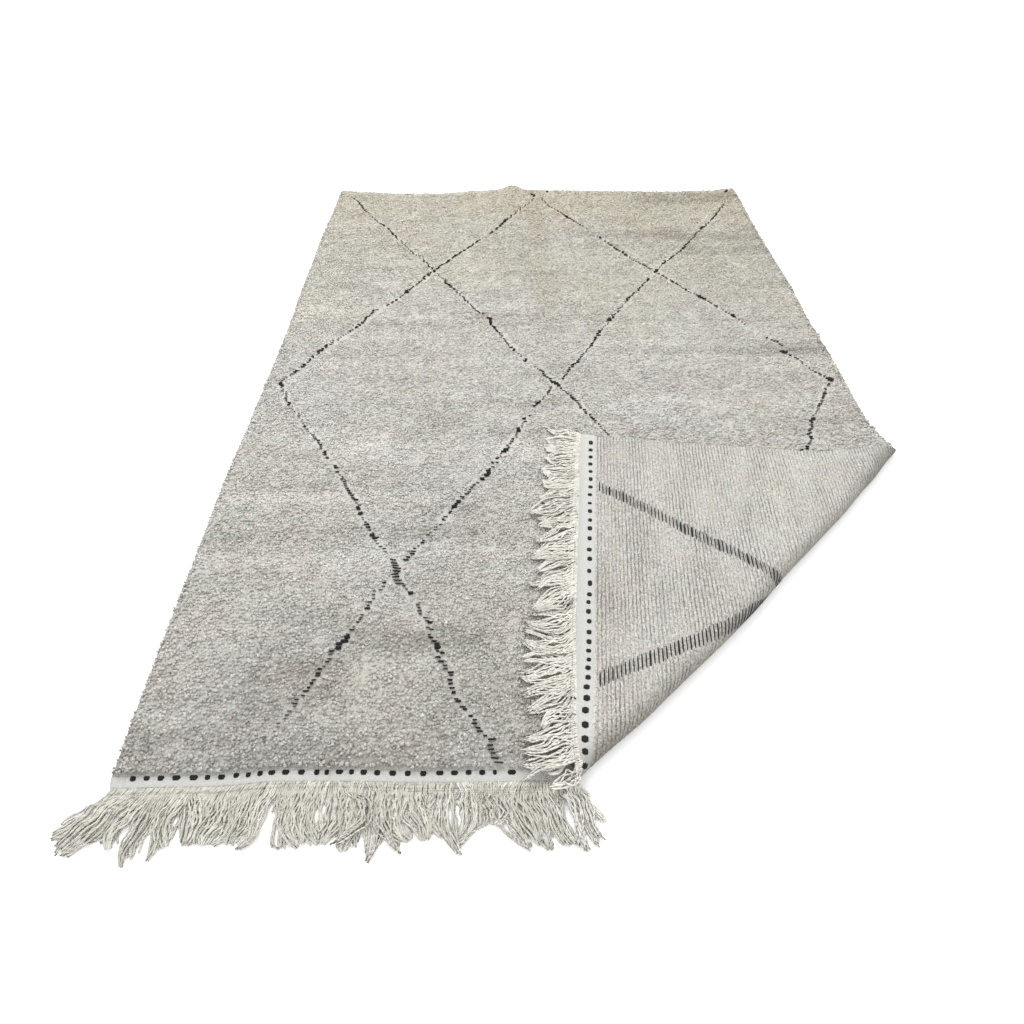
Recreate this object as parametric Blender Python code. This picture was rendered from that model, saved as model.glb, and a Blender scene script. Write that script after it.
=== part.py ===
"""Hand-knotted wool rug lying on a floor, with its near right corner turned back over the pile.

Flat places on the cloth are (across, along): across runs from the left selvedge to the right one,
along runs from the front end of the pile to the far end. A height is measured from the back of the
weave towards the tips of the pile. place() folds such a point into the rug's lying shape.
All sizes are in metres. The origin is under the middle of the pile field, on the floor.
"""
import math
import random

import bmesh
import bpy
from mathutils import Vector, noise
from mathutils.geometry import delaunay_2d_cdt

# the cloth, laid out flat
WIDTH = 2.0
LENGTH = 2.911
HEM = 0.033                 # flat-woven band in front of the pile
GROUND = 0.005              # thickness of the weave alone
THICKNESS = 0.020           # weave and pile together
RIM = 0.018                 # how far in from a selvedge the pile reaches its full height
RIM_HEIGHT = 0.009          # where the pile's outermost tips stand
PILE_START = 0.000          # foot of the pile's front wall
PILE_FULL = 0.012           # where the front wall reaches its full height
RIB_PITCH = 0.0094          # one row of knots on the back
RIB_HEIGHT = 0.0012
RIB_FIRST = 0.018           # first row behind the hem
RIB_LAST = 0.80             # the flap shows no row farther along than this
RIB_EDGE = 0.012            # the rows end this far inside the selvedge
RIB_CLEAR = 0.012           # and start this long before the flap lies level
RIB_SHORTEST = 0.03

# the turned-back corner
CREASE_START = 0.983        # where the crease meets the front end, across
CREASE_ANGLE = math.radians(42.07)
FLAP_TOP = 0.0425           # back of the flap above the floor
SETTLE = 0.13               # the flap comes down from the roll over this length
EASE = 0.25                 # the roll takes up its slack over this length
FLAP_WAVE = 0.0018          # its slow waves: their height,
RUN_WAVE = 7.0              # their turns along the roll, radians a metre,
BACK_WAVE = 9.0             # their turns away from it,
WAVE_START = 0.1            # and the length over which they grow
PRESS_START = 0.03          # the pile is pressed smooth from this far before the roll
PRESS_REACH = 0.16          # and this far out under the flap's fringe
PRESS_EASE = 0.06
# along the crease, how far the roll stands out of it, its radius
CREASE = (
    (0.00, 0.003, 0.0245),
    (0.20, 0.014, 0.0262),
    (0.50, 0.019, 0.0275),
    (0.80, 0.009, 0.0270),
    (1.00, 0.006, 0.0262),
    (1.20, -0.004, 0.0250),
    (1.37, -0.016, 0.0240),
)

# unevenness of a hand-made cloth
LUMP = 0.00256
LUMP_SIZE = 0.085
LOCK_OUT = 0.004            # how far locks of pile stray out of a selvedge or into it,
ALONG_WAVE = 71.0           # with these turns along it,
ACROSS_WAVE = 83.0          # and these along the far end, radians a metre
TUCK = 0.006                # the weave ends this far inside the pile's tips
CORNER_ROUND = 0.022
STORE_FOLD = 0.87           # soft lengthwise ridge left by storing it folded, across
STORE_HALF = 0.085
STORE_LIFT = 0.018
STORE_REACH = 0.36          # the far end is lifted over this length
STRAY_REACH = 0.5           # an edge's straying fades inwards over this length
# along, how far the left and the right selvedge stray outwards
SELVEDGES = (
    (-0.040, -0.018, -0.003),
    (-0.004, -0.008, -0.003),
    (0.010, -0.004, -0.003),
    (0.12, -0.001, -0.004),
    (0.30, 0.001, -0.012),
    (0.45, 0.002, -0.012),
    (0.65, 0.003, -0.015),
    (0.76, 0.004, 0.006),
    (0.85, 0.004, 0.022),
    (0.92, 0.003, 0.022),
    (0.985, 0.002, 0.016),
    (1.04, 0.000, -0.002),
    (1.10, -0.002, -0.013),
    (1.40, -0.006, -0.007),
    (1.70, -0.008, -0.009),
    (2.00, -0.002, -0.001),
    (2.40, 0.000, -0.006),
    (2.80, -0.006, 0.002),
    (3.00, -0.008, 0.004),
)
# across, how far the front end strays forwards
FRONT_END = (
    (0.00, 0.000),
    (0.23, -0.001),
    (0.28, -0.005),
    (0.33, -0.009),
    (0.41, -0.009),
    (0.52, -0.007),
    (0.62, -0.003),
    (0.89, -0.002),
    (1.11, 0.000),
)
# across, how much wider the band is pulled where it goes over the roll
HEM_SPREAD = (
    (0.90, 0.000),
    (0.95, 0.002),
    (1.00, 0.006),
    (1.04, 0.009),
    (1.09, 0.009),
    (1.14, 0.006),
    (1.20, 0.002),
    (1.26, 0.000),
)
# across, how far the far end strays backwards
FAR_END = (
    (0.00, 0.022),
    (0.12, 0.004),
    (0.34, -0.018),
    (0.50, -0.018),
    (0.70, 0.012),
    (0.80, 0.026),
    (0.87, 0.034),
    (0.95, 0.020),
    (1.10, 0.015),
    (1.33, 0.002),
    (1.70, -0.006),
    (1.88, 0.004),
    (1.95, 0.026),
    (2.00, 0.030),
)

# how finely the solid is cut
GRID = 0.078                # lumps of the open pile
GRID_JITTER = 0.22          # as a share of the grid
FLAP_GRID = 0.16            # the pile under the flap
FLAP_JITTER = 0.02
FLAT_GRID = 0.30            # the back on the floor
ROLL_STEPS = 8
ROLL_RADIUS = 0.0262        # a typical one, for the steps round it
SETTLE_SHARES = (0.25, 0.6, 1.0)
LEVEL_START = 0.02          # the flap's loose points start this far beyond its settling
FLOOR_CLEAR = 0.035         # those of the pile on the floor keep this clear of the roll,
BACK_CLEAR = 0.10           # and those of the back this
FRONT_CLEAR = 0.035         # and of the front wall
RIM_CLEAR = 0.04            # and of the rim
BACK_MARGIN = 0.15
ROW_POINTS = 21
EDGE_STEP = 0.042
FRONT_STEP = 0.11
RIM_STEP = 0.06
RIB_STEP = 0.35
KEEP_CLEAR = 0.4            # even points keep this share of a step clear of the forced ones
RIDGE_ALONG = (0.2, 0.5, 0.8, 1.0)
RIDGE_ACROSS = (-1.0, -0.5, 0.0, 0.5, 1.0)
CLOSE = 1e-6
HALVINGS = 40
HEM_RUNS = (-0.3, 0.9)      # a line beside the crease meets the hem between these runs,
SELVEDGE_RUNS = (0.5, 1.6)  # and the right selvedge between these

# fringe
PART_GAP = 0.0003
STRIP = 0.0065
STRIP_HEIGHT = 0.0044
LOCK_PITCH = 0.0155
LOCK_WIDTH = 0.0112
LOCK_TOP = 0.72             # its width on top, as a share
FIRST_LOCK = 0.001          # the outermost locks start this far inside the selvedges
FLOOR_FRINGE_END = 0.905
PILE_CLEAR = 0.0012
CLUMP = 4                   # locks that hang together
CLUMP_PULL = 0.30
CLUMP_SHAKE = 0.06
FLOOR_SHAKE = 0.006         # how unequally long the locks are
FLAP_SHAKE = 0.005
FLOOR_SHORTER = (0.007, 0.004)   # a clump's first and last lock are shorter by this
FLAP_SHORTER = (0.006, 0.003)
SWING_START = 0.12          # a lock on the floor swings out early,
SWING_POWER = 0.3
FLAP_SWING = 1.25           # one on the flap late
FLAP_LANDING = 0.40         # and it comes down onto the pile over this share of its length
LEVEL = 0.05                # a lock flatter than this keeps its top upwards
PROBE = 0.008               # the cloth's heading is taken over this length
# along a lock, its width against that of its root, its height
FLOOR_LOCK = (
    (0.13, 1.00, 0.0052),
    (0.36, 1.00, 0.0062),
    (0.66, 0.92, 0.0056),
    (1.00, 0.55, 0.0040),
)
FLAP_LOCK = (
    (0.12, 1.00, 0.0046),
    (0.40, 1.02, 0.0062),
    (0.68, 0.90, 0.0056),
    (1.00, 0.50, 0.0040),
)
# the same for the locks that hang off the roll, from their knee to their tip
ROLL_LOCK = (
    (0.00, 0.80, 0.0044),
    (0.42, 0.90, 0.0062),
    (0.70, 0.85, 0.0056),
    (1.00, 0.50, 0.0040),
)
KNEE = 0.016                # they go on straight over this length
ROLL_GAP = 0.024            # from the last of them to the first lock of the flap
# across, sideways lean of the tips, reach forward of the pile
FLOOR_FRINGE = (
    (0.00, -0.064, 0.150),
    (0.06, -0.058, 0.160),
    (0.12, -0.046, 0.168),
    (0.20, -0.040, 0.158),
    (0.31, -0.036, 0.144),
    (0.325, 0.010, 0.142),
    (0.42, 0.006, 0.142),
    (0.54, 0.004, 0.164),
    (0.66, 0.002, 0.156),
    (0.75, 0.008, 0.150),
    (0.80, 0.008, 0.128),
    (0.86, 0.006, 0.153),
    (0.91, 0.004, 0.161),
)
# across, lean of the tips towards the near end, length
FLAP_FRINGE = (
    (1.01, 0.088, 0.100),
    (1.08, 0.066, 0.106),
    (1.20, 0.048, 0.122),
    (1.32, 0.024, 0.122),
    (1.45, 0.034, 0.116),
    (1.60, 0.022, 0.124),
    (1.75, 0.014, 0.116),
    (1.88, 0.002, 0.104),
    (2.00, -0.030, 0.104),
)
# locks that hang off the roll: root across, tip across, tip along, height the tip rests at
ROLL_FRINGE = (
    (0.922, 0.928, -0.163, 0.0),
    (0.938, 0.946, -0.158, 0.0),
    (0.954, 0.966, -0.163, 0.0),
    (0.969, 0.986, -0.151, 0.0),
    (0.984, 1.006, -0.112, 0.0),
)

CREASE_DIR = (math.cos(CREASE_ANGLE), math.sin(CREASE_ANGLE))
OUT_DIR = (math.sin(CREASE_ANGLE), -math.cos(CREASE_ANGLE))
RIM_BACK = LENGTH - RIM


def smooth(x):
    """Ease from 0 to 1."""
    x = min(1.0, max(0.0, x))
    return x * x * (3.0 - 2.0 * x)


def read_table(table, x, column):
    """Value of a column, eased between the rows on either side of x."""
    if x <= table[0][0]:
        return table[0][column]
    for low, high in zip(table, table[1:]):
        if x <= high[0]:
            share = smooth((x - low[0]) / (high[0] - low[0]))
            return low[column] + share * (high[column] - low[column])
    return table[-1][column]


def read_line(table, x, column):
    """Value of a column on the straight line between the rows on either side of x."""
    if x <= table[0][0]:
        return table[0][column]
    for low, high in zip(table, table[1:]):
        if x <= high[0]:
            share = (x - low[0]) / (high[0] - low[0])
            return low[column] + share * (high[column] - low[column])
    return table[-1][column]


def halved(low, high, below):
    """Where below() turns false between low and high, found by halving."""
    for _ in range(HALVINGS):
        middle = 0.5 * (low + high)
        if below(middle):
            low = middle
        else:
            high = middle
    return 0.5 * (low + high)


def to_crease(across, along):
    """Distances of a flat point along the crease and beyond it."""
    x = across - CREASE_START
    return (x * CREASE_DIR[0] + along * CREASE_DIR[1],
            x * OUT_DIR[0] + along * OUT_DIR[1])


def from_crease(run, beyond):
    """The flat point at these distances along the crease and beyond it."""
    return (CREASE_START + run * CREASE_DIR[0] + beyond * OUT_DIR[0],
            run * CREASE_DIR[1] + beyond * OUT_DIR[1])


def roll_at(run):
    """Where the roll starts beyond the crease, and its radius."""
    radius = read_table(CREASE, run, 2)
    return read_table(CREASE, run, 1) - radius, radius


def arc_length(past, start, radius):
    """Length along the folded cloth for a flat distance past the roll's start."""
    slack = 2.0 * start + math.pi * radius
    return past + slack * smooth(past / EASE)


def past_for_arc(arc, start, radius):
    """The flat distance past the roll's start that gives this folded length."""
    return halved(0.0, arc, lambda past: arc_length(past, start, radius) < arc)


def round_corner(x, y):
    """Bring a point of a square corner, measured inwards from its sides, onto a round one."""
    if x >= CORNER_ROUND or y >= CORNER_ROUND:
        return x, y
    px = (CORNER_ROUND - x) / CORNER_ROUND
    py = (CORNER_ROUND - y) / CORNER_ROUND
    size = math.hypot(px, py)
    if size < 1e-6:
        return x, y
    scale = max(px, py) / size
    return CORNER_ROUND * (1.0 - px * scale), CORNER_ROUND * (1.0 - py * scale)


def stray(across, along):
    """Where a point of the true rectangle lies on the uneven hand-made cloth."""
    if along < 0.0:
        along *= 1.0 + read_line(HEM_SPREAD, across, 1) / HEM
    left, back = round_corner(across, LENGTH - along)
    right, back = round_corner(WIDTH - left, back)
    across, along = WIDTH - right, LENGTH - back
    left_share = smooth(1.0 - across / STRAY_REACH)
    right_share = smooth(1.0 - (WIDTH - across) / STRAY_REACH)
    forwards = read_line(FRONT_END, across, 1)
    across -= left_share * read_table(SELVEDGES, along, 1)
    across += right_share * read_table(SELVEDGES, along, 2)
    near = smooth(1.0 - along / STRAY_REACH)
    far = smooth(1.0 - (LENGTH - along) / STRAY_REACH)
    return across, along - near * forwards + far * read_table(FAR_END, across, 1)


def store_ridge(across, along):
    """Lift of the soft lengthwise ridge at the far end."""
    side = (across - STORE_FOLD) / STORE_HALF
    if abs(side) >= 1.0:
        return 0.0
    return STORE_LIFT * smooth(1.0 - abs(side)) * smooth(1.0 - (LENGTH - along) / STORE_REACH)


def flap_height(run, back):
    """Height of the back of the flap, past the roll by this length."""
    wave = 0.5 + 0.5 * math.sin(RUN_WAVE * run + BACK_WAVE * back)
    wave *= FLAP_WAVE * smooth(back / WAVE_START)
    roll_top = 2.0 * roll_at(run)[1]
    return FLAP_TOP + (roll_top - FLAP_TOP) * smooth(1.0 - back / SETTLE) + wave


def place(across, along, height):
    """A point of the cloth in the rug's lying shape."""
    across, along = stray(across, along)
    run, beyond = to_crease(across, along)
    start, radius = roll_at(run)
    past = beyond - start
    if past <= 0.0:
        x, y, z = across, along, store_ridge(across, along) + height
    else:
        arc = arc_length(past, start, radius)
        if arc < math.pi * radius:
            turn = arc / radius
            reach = start + (radius - height) * math.sin(turn)
            z = radius - (radius - height) * math.cos(turn)
        else:
            back = arc - math.pi * radius
            reach = start - back
            z = flap_height(run, back) - height
        x, y = from_crease(run, reach)
    return Vector((x - WIDTH / 2.0, y - LENGTH / 2.0, z))


def folded_length(across, along):
    """Length past the roll's start, negative on the part that lies on the floor."""
    run, beyond = to_crease(across, along)
    start, radius = roll_at(run)
    past = beyond - start
    return past if past < 0.0 else arc_length(past, start, radius)


def pressed(across, along):
    """1 where the pile is pressed smooth in the fold or under the flap and its fringe, else 0."""
    if folded_length(across, along) > -PRESS_START:
        return 1.0
    run, beyond = to_crease(across, along)
    flap_across, flap_along = from_crease(run, -beyond)
    outside = max(flap_across - WIDTH, -(flap_along + HEM + PRESS_REACH))
    return 1.0 - smooth(outside / PRESS_EASE)


def pile_height(across, along):
    """Height of the pile's tips above the back of the weave."""
    edge = min(across, WIDTH - across, LENGTH - along)
    lump = noise.noise(Vector((across / LUMP_SIZE, along / LUMP_SIZE, 0.0)))
    full = THICKNESS + LUMP * lump * (1.0 - pressed(across, along))
    rim = RIM_HEIGHT + (full - RIM_HEIGHT) * smooth(edge / RIM)
    front = smooth((along - PILE_START) / (PILE_FULL - PILE_START))
    return GROUND + (rim - GROUND) * front


def rib_height(along):
    """Height of the rows of knots above the hollows between them."""
    phase = (along - RIB_FIRST) / RIB_PITCH
    return RIB_HEIGHT * (0.5 - 0.5 * math.cos(2.0 * math.pi * phase))


def crease_row(arc):
    """Flat points of a line that runs beside the crease at one folded length."""
    def flat(run):
        start, radius = roll_at(run)
        past = past_for_arc(arc, start, radius)
        return from_crease(run, start + past)

    first = halved(*HEM_RUNS, lambda run: flat(run)[1] < -HEM)
    last = halved(*SELVEDGE_RUNS, lambda run: flat(run)[0] < WIDTH)
    runs = [first + (last - first) * k / (ROW_POINTS - 1) for k in range(ROW_POINTS)]
    row = [flat(run) for run in runs]
    row[0] = (row[0][0], -HEM)
    row[-1] = (WIDTH, row[-1][1])
    return row


def edge_points(low, high, step, forced):
    """Places along one side: the forced ones, and even ones that keep clear of them."""
    count = max(1, round((high - low) / step))
    even = [low + (high - low) * k / count for k in range(1, count)]
    clear = step * KEEP_CLEAR
    kept = [value for value in even if all(abs(value - other) > clear for other in forced)]
    return sorted(kept + list(forced))


def front_knots():
    """Places across where the front end bends."""
    return [row[0] for row in FRONT_END + HEM_SPREAD if 0.0 < row[0] < WIDTH]


def outline(rows):
    """The cloth's outline, anticlockwise from the near left corner."""
    front = [row[0][0] for row in rows]
    right = [row[-1][1] for row in rows]
    steps = [PILE_START, PILE_FULL]
    near = edge_points(0.0, WIDTH, FRONT_STEP, front + front_knots())
    near_right = edge_points(-HEM, min(right), FRONT_STEP, steps)
    far_right = edge_points(max(right), LENGTH, EDGE_STEP, [])
    far = edge_points(0.0, WIDTH, EDGE_STEP, [])
    left = edge_points(-HEM, LENGTH, EDGE_STEP, steps)
    points = [(0.0, -HEM)] + [(x, -HEM) for x in near] + [(WIDTH, -HEM)]
    points += [(WIDTH, y) for y in near_right] + [(WIDTH, y) for y in sorted(right)]
    points += [(WIDTH, y) for y in far_right] + [(WIDTH, LENGTH)]
    points += [(x, LENGTH) for x in reversed(far)] + [(0.0, LENGTH)]
    points += [(0.0, y) for y in reversed(left)]
    return points


def triangulate(loop, lines, loose):
    """Triangles inside the loop that keep the lines, and where each loop point went."""
    flat = [Vector(point) for point in loop]
    edges = []
    for line in lines:
        base = len(flat)
        flat += [Vector(point) for point in line]
        edges += [(base + k, base + k + 1) for k in range(len(line) - 1)]
    flat += [Vector(point) for point in loose]
    face = list(range(len(loop)))
    verts, _, faces, sources, _, _ = delaunay_2d_cdt(flat, edges, [face], 1, 1e-6)
    went = {}
    for index, source in enumerate(sources):
        for original in source:
            went[original] = index
    return verts, faces, [went[k] for k in range(len(loop))]


def scatter(step, low, high, keep, rng, jitter):
    """A shaken grid of flat points, as far as keep() allows them."""
    columns = round((high[0] - low[0]) / step)
    rows = round((high[1] - low[1]) / step)
    points = []
    for j in range(rows + 1):
        for i in range(columns + 1):
            x = low[0] + (high[0] - low[0]) * i / columns + rng.uniform(-jitter, jitter)
            y = low[1] + (high[1] - low[1]) * j / rows + rng.uniform(-jitter, jitter)
            if keep(x, y):
                points.append((x, y))
    return points


def build_cloth(material):
    """The folded cloth: weave, hem and lumpy pile as one closed solid."""
    rng = random.Random(11)
    # the roll's half turn in even steps, then the run where the flap settles
    turn = [math.pi * ROLL_RADIUS * k / ROLL_STEPS for k in range(ROLL_STEPS + 1)]
    settle = [turn[-1] + SETTLE * share for share in SETTLE_SHARES]
    level = settle[-1]
    rows = [crease_row(arc) for arc in turn + settle]
    loop = outline(rows)

    def open_floor(x, y):
        return folded_length(x, y) < -FLOOR_CLEAR

    def deep_flap(x, y):
        return folded_length(x, y) > level + LEVEL_START

    def open_back(x, y):
        return folded_length(x, y) < -BACK_CLEAR

    # pile side
    right_rim = WIDTH - RIM
    top = max(row[-1][1] for row in rows)
    rims = [[(RIM, y) for y in edge_points(PILE_FULL, RIM_BACK, RIM_STEP, [PILE_FULL, RIM_BACK])],
            [(x, RIM_BACK) for x in edge_points(RIM, right_rim, RIM_STEP, [RIM, right_rim])],
            [(right_rim, y)
             for y in edge_points(PILE_FULL, RIM_BACK, RIM_STEP, [PILE_FULL, top, RIM_BACK])]]
    bends = [0.0, RIM] + sorted(front_knots()) + [right_rim, WIDTH]
    steps = [[(x, y) for x in bends] for y in (PILE_START, PILE_FULL)]
    inner_low = (RIM + RIM_CLEAR, PILE_FULL + FRONT_CLEAR)
    inner_high = (right_rim - RIM_CLEAR, RIM_BACK - RIM_CLEAR)
    loose = scatter(GRID, inner_low, inner_high, open_floor, rng, GRID * GRID_JITTER)
    loose += scatter(FLAP_GRID, inner_low, inner_high, deep_flap, rng, FLAP_JITTER)
    pile = triangulate(loop, rows + steps + rims, loose)

    # back
    ridge = [(STORE_FOLD + side * STORE_HALF, LENGTH - STORE_REACH * share)
             for share in RIDGE_ALONG for side in RIDGE_ACROSS]
    loose = scatter(FLAT_GRID, (BACK_MARGIN, BACK_MARGIN),
                    (WIDTH - BACK_MARGIN, LENGTH - STORE_REACH - BACK_MARGIN), open_back, rng, 0.0)
    back = triangulate(loop, rows + rib_lines(level + LEVEL_START - RIB_CLEAR), loose + ridge)

    mesh = bmesh.new()
    pile_verts = []
    for x, y in pile[0]:
        moved = at_edge(x, y, lock_stray(x, y))
        pile_verts.append(mesh.verts.new(place(*moved, pile_height(x, y))))
    back_verts = []
    for x, y in back[0]:
        on_flap = folded_length(x, y) > level and x < WIDTH - RIB_EDGE + CLOSE and y > PILE_START
        raised = rib_height(y) if on_flap else 0.0
        back_verts.append(mesh.verts.new(place(*at_edge(x, y, -TUCK), -raised)))
    for face in pile[1]:
        mesh.faces.new([pile_verts[k] for k in face])
    for face in back[1]:
        mesh.faces.new([back_verts[k] for k in reversed(face)])
    count = len(loop)
    for k in range(count):
        following = (k + 1) % count
        mesh.faces.new((back_verts[back[2][k]], back_verts[back[2][following]],
                        pile_verts[pile[2][following]], pile_verts[pile[2][k]]))
    return finish(mesh, "rug_cloth", material)


def at_edge(across, along, amount):
    """Push an outermost point of the pile field out of its selvedge or far end."""
    if along < PILE_FULL + CLOSE:
        return across, along
    if across < CLOSE:
        across -= amount
    elif across > WIDTH - CLOSE:
        across += amount
    if along > LENGTH - CLOSE:
        along += amount
    return across, along


def lock_stray(across, along):
    """How far the pile's outermost locks stand out at this place."""
    return LOCK_OUT * math.sin(along * ALONG_WAVE + across * ACROSS_WAVE)


def rib_lines(first_arc):
    """Crest and hollow of each row of knots on the flap, as far as it lies flat."""
    lines = []
    end = WIDTH - RIB_EDGE
    for k in range(int(2.0 * (RIB_LAST - RIB_FIRST) / RIB_PITCH)):
        along = RIB_FIRST + 0.5 * k * RIB_PITCH
        start = halved(CREASE_START, WIDTH, lambda across: folded_length(across, along) < first_arc)
        if start + RIB_SHORTEST > end:
            break
        pieces = max(1, round((end - start) / RIB_STEP))
        lines.append([(start + (end - start) * j / pieces, along) for j in range(pieces + 1)])
    return lines


def lock_rings(path, form):
    """Four-sided rings along a lock; the path is the middle of its underside, and form the rows
    of its table."""
    rings = []
    for k, (point, (_, width, height)) in enumerate(zip(path, form)):
        before = path[max(0, k - 1)]
        after = path[min(len(path) - 1, k + 1)]
        heading = (after - before).normalized()
        side = Vector((-heading.y, heading.x, 0.0)).normalized()
        up = side.cross(heading) * -1.0
        if abs(heading.z) < LEVEL:
            up = Vector((0.0, 0.0, 1.0))
        half = side * LOCK_WIDTH * width / 2.0
        rings.append((point + half, point - half,
                      point - half * LOCK_TOP + up * height, point + half * LOCK_TOP + up * height))
    return rings


def build_fringe(name, locks, stations, material, inner, outer):
    """A woven strip with its locks: stations are its section lines, locks go on every other gap."""
    mesh = bmesh.new()
    sections = []
    for across in stations:
        corners = ((inner, 0.0), (outer, 0.0), (outer, STRIP_HEIGHT), (inner, STRIP_HEIGHT))
        sections.append([mesh.verts.new(place(across, along, height))
                         for along, height in corners])
    for k, (a, b) in enumerate(zip(sections, sections[1:])):
        mesh.faces.new((a[0], b[0], b[1], a[1]))
        mesh.faces.new((a[2], b[2], b[3], a[3]))
        mesh.faces.new((a[3], b[3], b[0], a[0]))
        lock = locks.get(k)
        if lock is None:
            mesh.faces.new((a[1], b[1], b[2], a[2]))
            continue
        ring = [a[1], b[1], b[2], a[2]]
        for corners in lock:
            following = [mesh.verts.new(corner) for corner in untwisted(ring, corners)]
            for j in range(4):
                i = (j + 1) % 4
                mesh.faces.new((ring[j], ring[i], following[i], following[j]))
            ring = following
        mesh.faces.new(ring)
    mesh.faces.new(sections[0])
    mesh.faces.new(list(reversed(sections[-1])))
    return finish(mesh, name, material)


def untwisted(ring, corners):
    """The corners in the order that follows the ring before them without a twist."""
    orders = [[corners[(first + way * j) % 4] for j in range(4)]
              for first in range(4) for way in (1, -1)]
    return min(orders, key=lambda order: sum((vert.co - corner).length_squared
                                             for vert, corner in zip(ring, order)))


def clump_shift(index, count, rng):
    """How far a lock's tip is drawn to the middle of its clump, as a share of the pitch."""
    first = index - index % CLUMP
    size = min(CLUMP, count - first)
    middle = first + (size - 1) / 2.0
    return (middle - index) * CLUMP_PULL + rng.uniform(-CLUMP_SHAKE, CLUMP_SHAKE)


def shorter_by(index, shorter):
    """How much shorter a lock is than its clump, at the clump's start or end."""
    return shorter[0] * (index % CLUMP == 0) + shorter[1] * (index % CLUMP == CLUMP - 1)


def strip_stations(roots):
    """Section lines of a strip: both sides of each lock's root."""
    stations = []
    for root in roots:
        stations += [root - LOCK_WIDTH / 2.0, root + LOCK_WIDTH / 2.0]
    return stations


def build_floor_fringe(material):
    """Locks that lie on the floor in front of the hem."""
    rng = random.Random(5)
    inner = -HEM - PART_GAP
    outer = inner - STRIP
    count = int((FLOOR_FRINGE_END - LOCK_WIDTH) / LOCK_PITCH) + 1
    roots = [LOCK_WIDTH / 2.0 + FIRST_LOCK + k * LOCK_PITCH for k in range(count)]
    locks = {}
    for k, root in enumerate(roots):
        lean = read_table(FLOOR_FRINGE, root, 1) + clump_shift(k, count, rng) * LOCK_PITCH
        reach = read_table(FLOOR_FRINGE, root, 2) + rng.uniform(-FLOOR_SHAKE, FLOOR_SHAKE)
        reach -= shorter_by(k, FLOOR_SHORTER)
        foot = place(root, outer, 0.0)
        tip = Vector((root + lean - WIDTH / 2.0, -reach - LENGTH / 2.0, 0.0))
        path = []
        for share, _, _ in FLOOR_LOCK:
            swing = smooth(SWING_START + (1.0 - SWING_START) * share) * share ** SWING_POWER
            path.append(Vector((foot.x + (tip.x - foot.x) * swing,
                                foot.y + (tip.y - foot.y) * share, 0.0)))
        locks[2 * k] = lock_rings(path, FLOOR_LOCK)
    return build_fringe("fringe_floor", locks, strip_stations(roots), material, inner, outer)


def build_flap_fringe(material):
    """Locks of the turned-back part: off the roll onto the floor, then over the pile."""
    rng = random.Random(8)
    inner = -HEM - PART_GAP
    outer = inner - STRIP
    rest = THICKNESS + PILE_CLEAR
    first = ROLL_FRINGE[-1][0] + ROLL_GAP
    count = int((WIDTH - FIRST_LOCK - LOCK_WIDTH / 2.0 - first) / LOCK_PITCH) + 1
    flap_roots = [first + k * LOCK_PITCH for k in range(count)]
    locks = {}
    for k, (root, tip_across, tip_along, tip_rest) in enumerate(ROLL_FRINGE):
        foot = place(root, outer, 0.0)
        heading = (place(root, outer - PROBE, 0.0) - foot).normalized()
        tip = Vector((tip_across - WIDTH / 2.0, tip_along - LENGTH / 2.0, tip_rest))
        knee = foot + heading * KNEE
        path = [knee.lerp(tip, share) for share, _, _ in ROLL_LOCK]
        path[0].z = max(tip_rest, knee.z)
        for point in path[1:]:
            point.z = tip_rest
        locks[2 * k] = lock_rings(path, ROLL_LOCK)
    for k, root in enumerate(flap_roots):
        foot = place(root, outer, STRIP_HEIGHT)
        ahead = place(root, outer - PROBE, STRIP_HEIGHT) - foot
        forward = Vector((ahead.x, ahead.y, 0.0)).normalized()
        near_way = Vector((forward.y, -forward.x, 0.0)) * -1.0
        lean = read_table(FLAP_FRINGE, root, 1) - clump_shift(k, count, rng) * LOCK_PITCH
        length = read_table(FLAP_FRINGE, root, 2) + rng.uniform(-FLAP_SHAKE, FLAP_SHAKE)
        length -= shorter_by(k, FLAP_SHORTER)
        path = []
        for share, _, _ in FLAP_LOCK:
            point = foot + forward * length * share + near_way * lean * share ** FLAP_SWING
            point.z = rest + (foot.z - rest) * (1.0 - smooth(share / FLAP_LANDING))
            path.append(point)
        locks[2 * (k + len(ROLL_FRINGE))] = lock_rings(path, FLAP_LOCK)
    roots = [row[0] for row in ROLL_FRINGE] + flap_roots
    return build_fringe("fringe_flap", locks, strip_stations(roots), material, inner, outer)


def finish(mesh, name, material):
    """Turn a working mesh into an object with its material."""
    bmesh.ops.recalc_face_normals(mesh, faces=mesh.faces)
    data = bpy.data.meshes.new(name)
    mesh.to_mesh(data)
    mesh.free()
    data.materials.append(material)
    thing = bpy.data.objects.new(name, data)
    bpy.context.collection.objects.link(thing)
    return thing


def make_material(name, colour, roughness):
    """A plain matt yarn."""
    material = bpy.data.materials.new(name)
    material.use_nodes = True
    shader = material.node_tree.nodes["Principled BSDF"]
    shader.inputs["Base Color"].default_value = (*colour, 1.0)
    shader.inputs["Roughness"].default_value = roughness
    shader.inputs["Metallic"].default_value = 0.0
    return material


def clear_scene():
    """Remove whatever the scene holds."""
    for thing in list(bpy.data.objects):
        bpy.data.objects.remove(thing, do_unlink=True)


def main():
    """Build the rug."""
    clear_scene()
    wool = make_material("heathered_wool", (0.60, 0.57, 0.52), 0.95)
    yarn = make_material("fringe_yarn", (0.74, 0.71, 0.61), 0.9)
    build_cloth(wool)
    build_floor_fringe(yarn)
    build_flap_fringe(yarn)


main()
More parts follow.
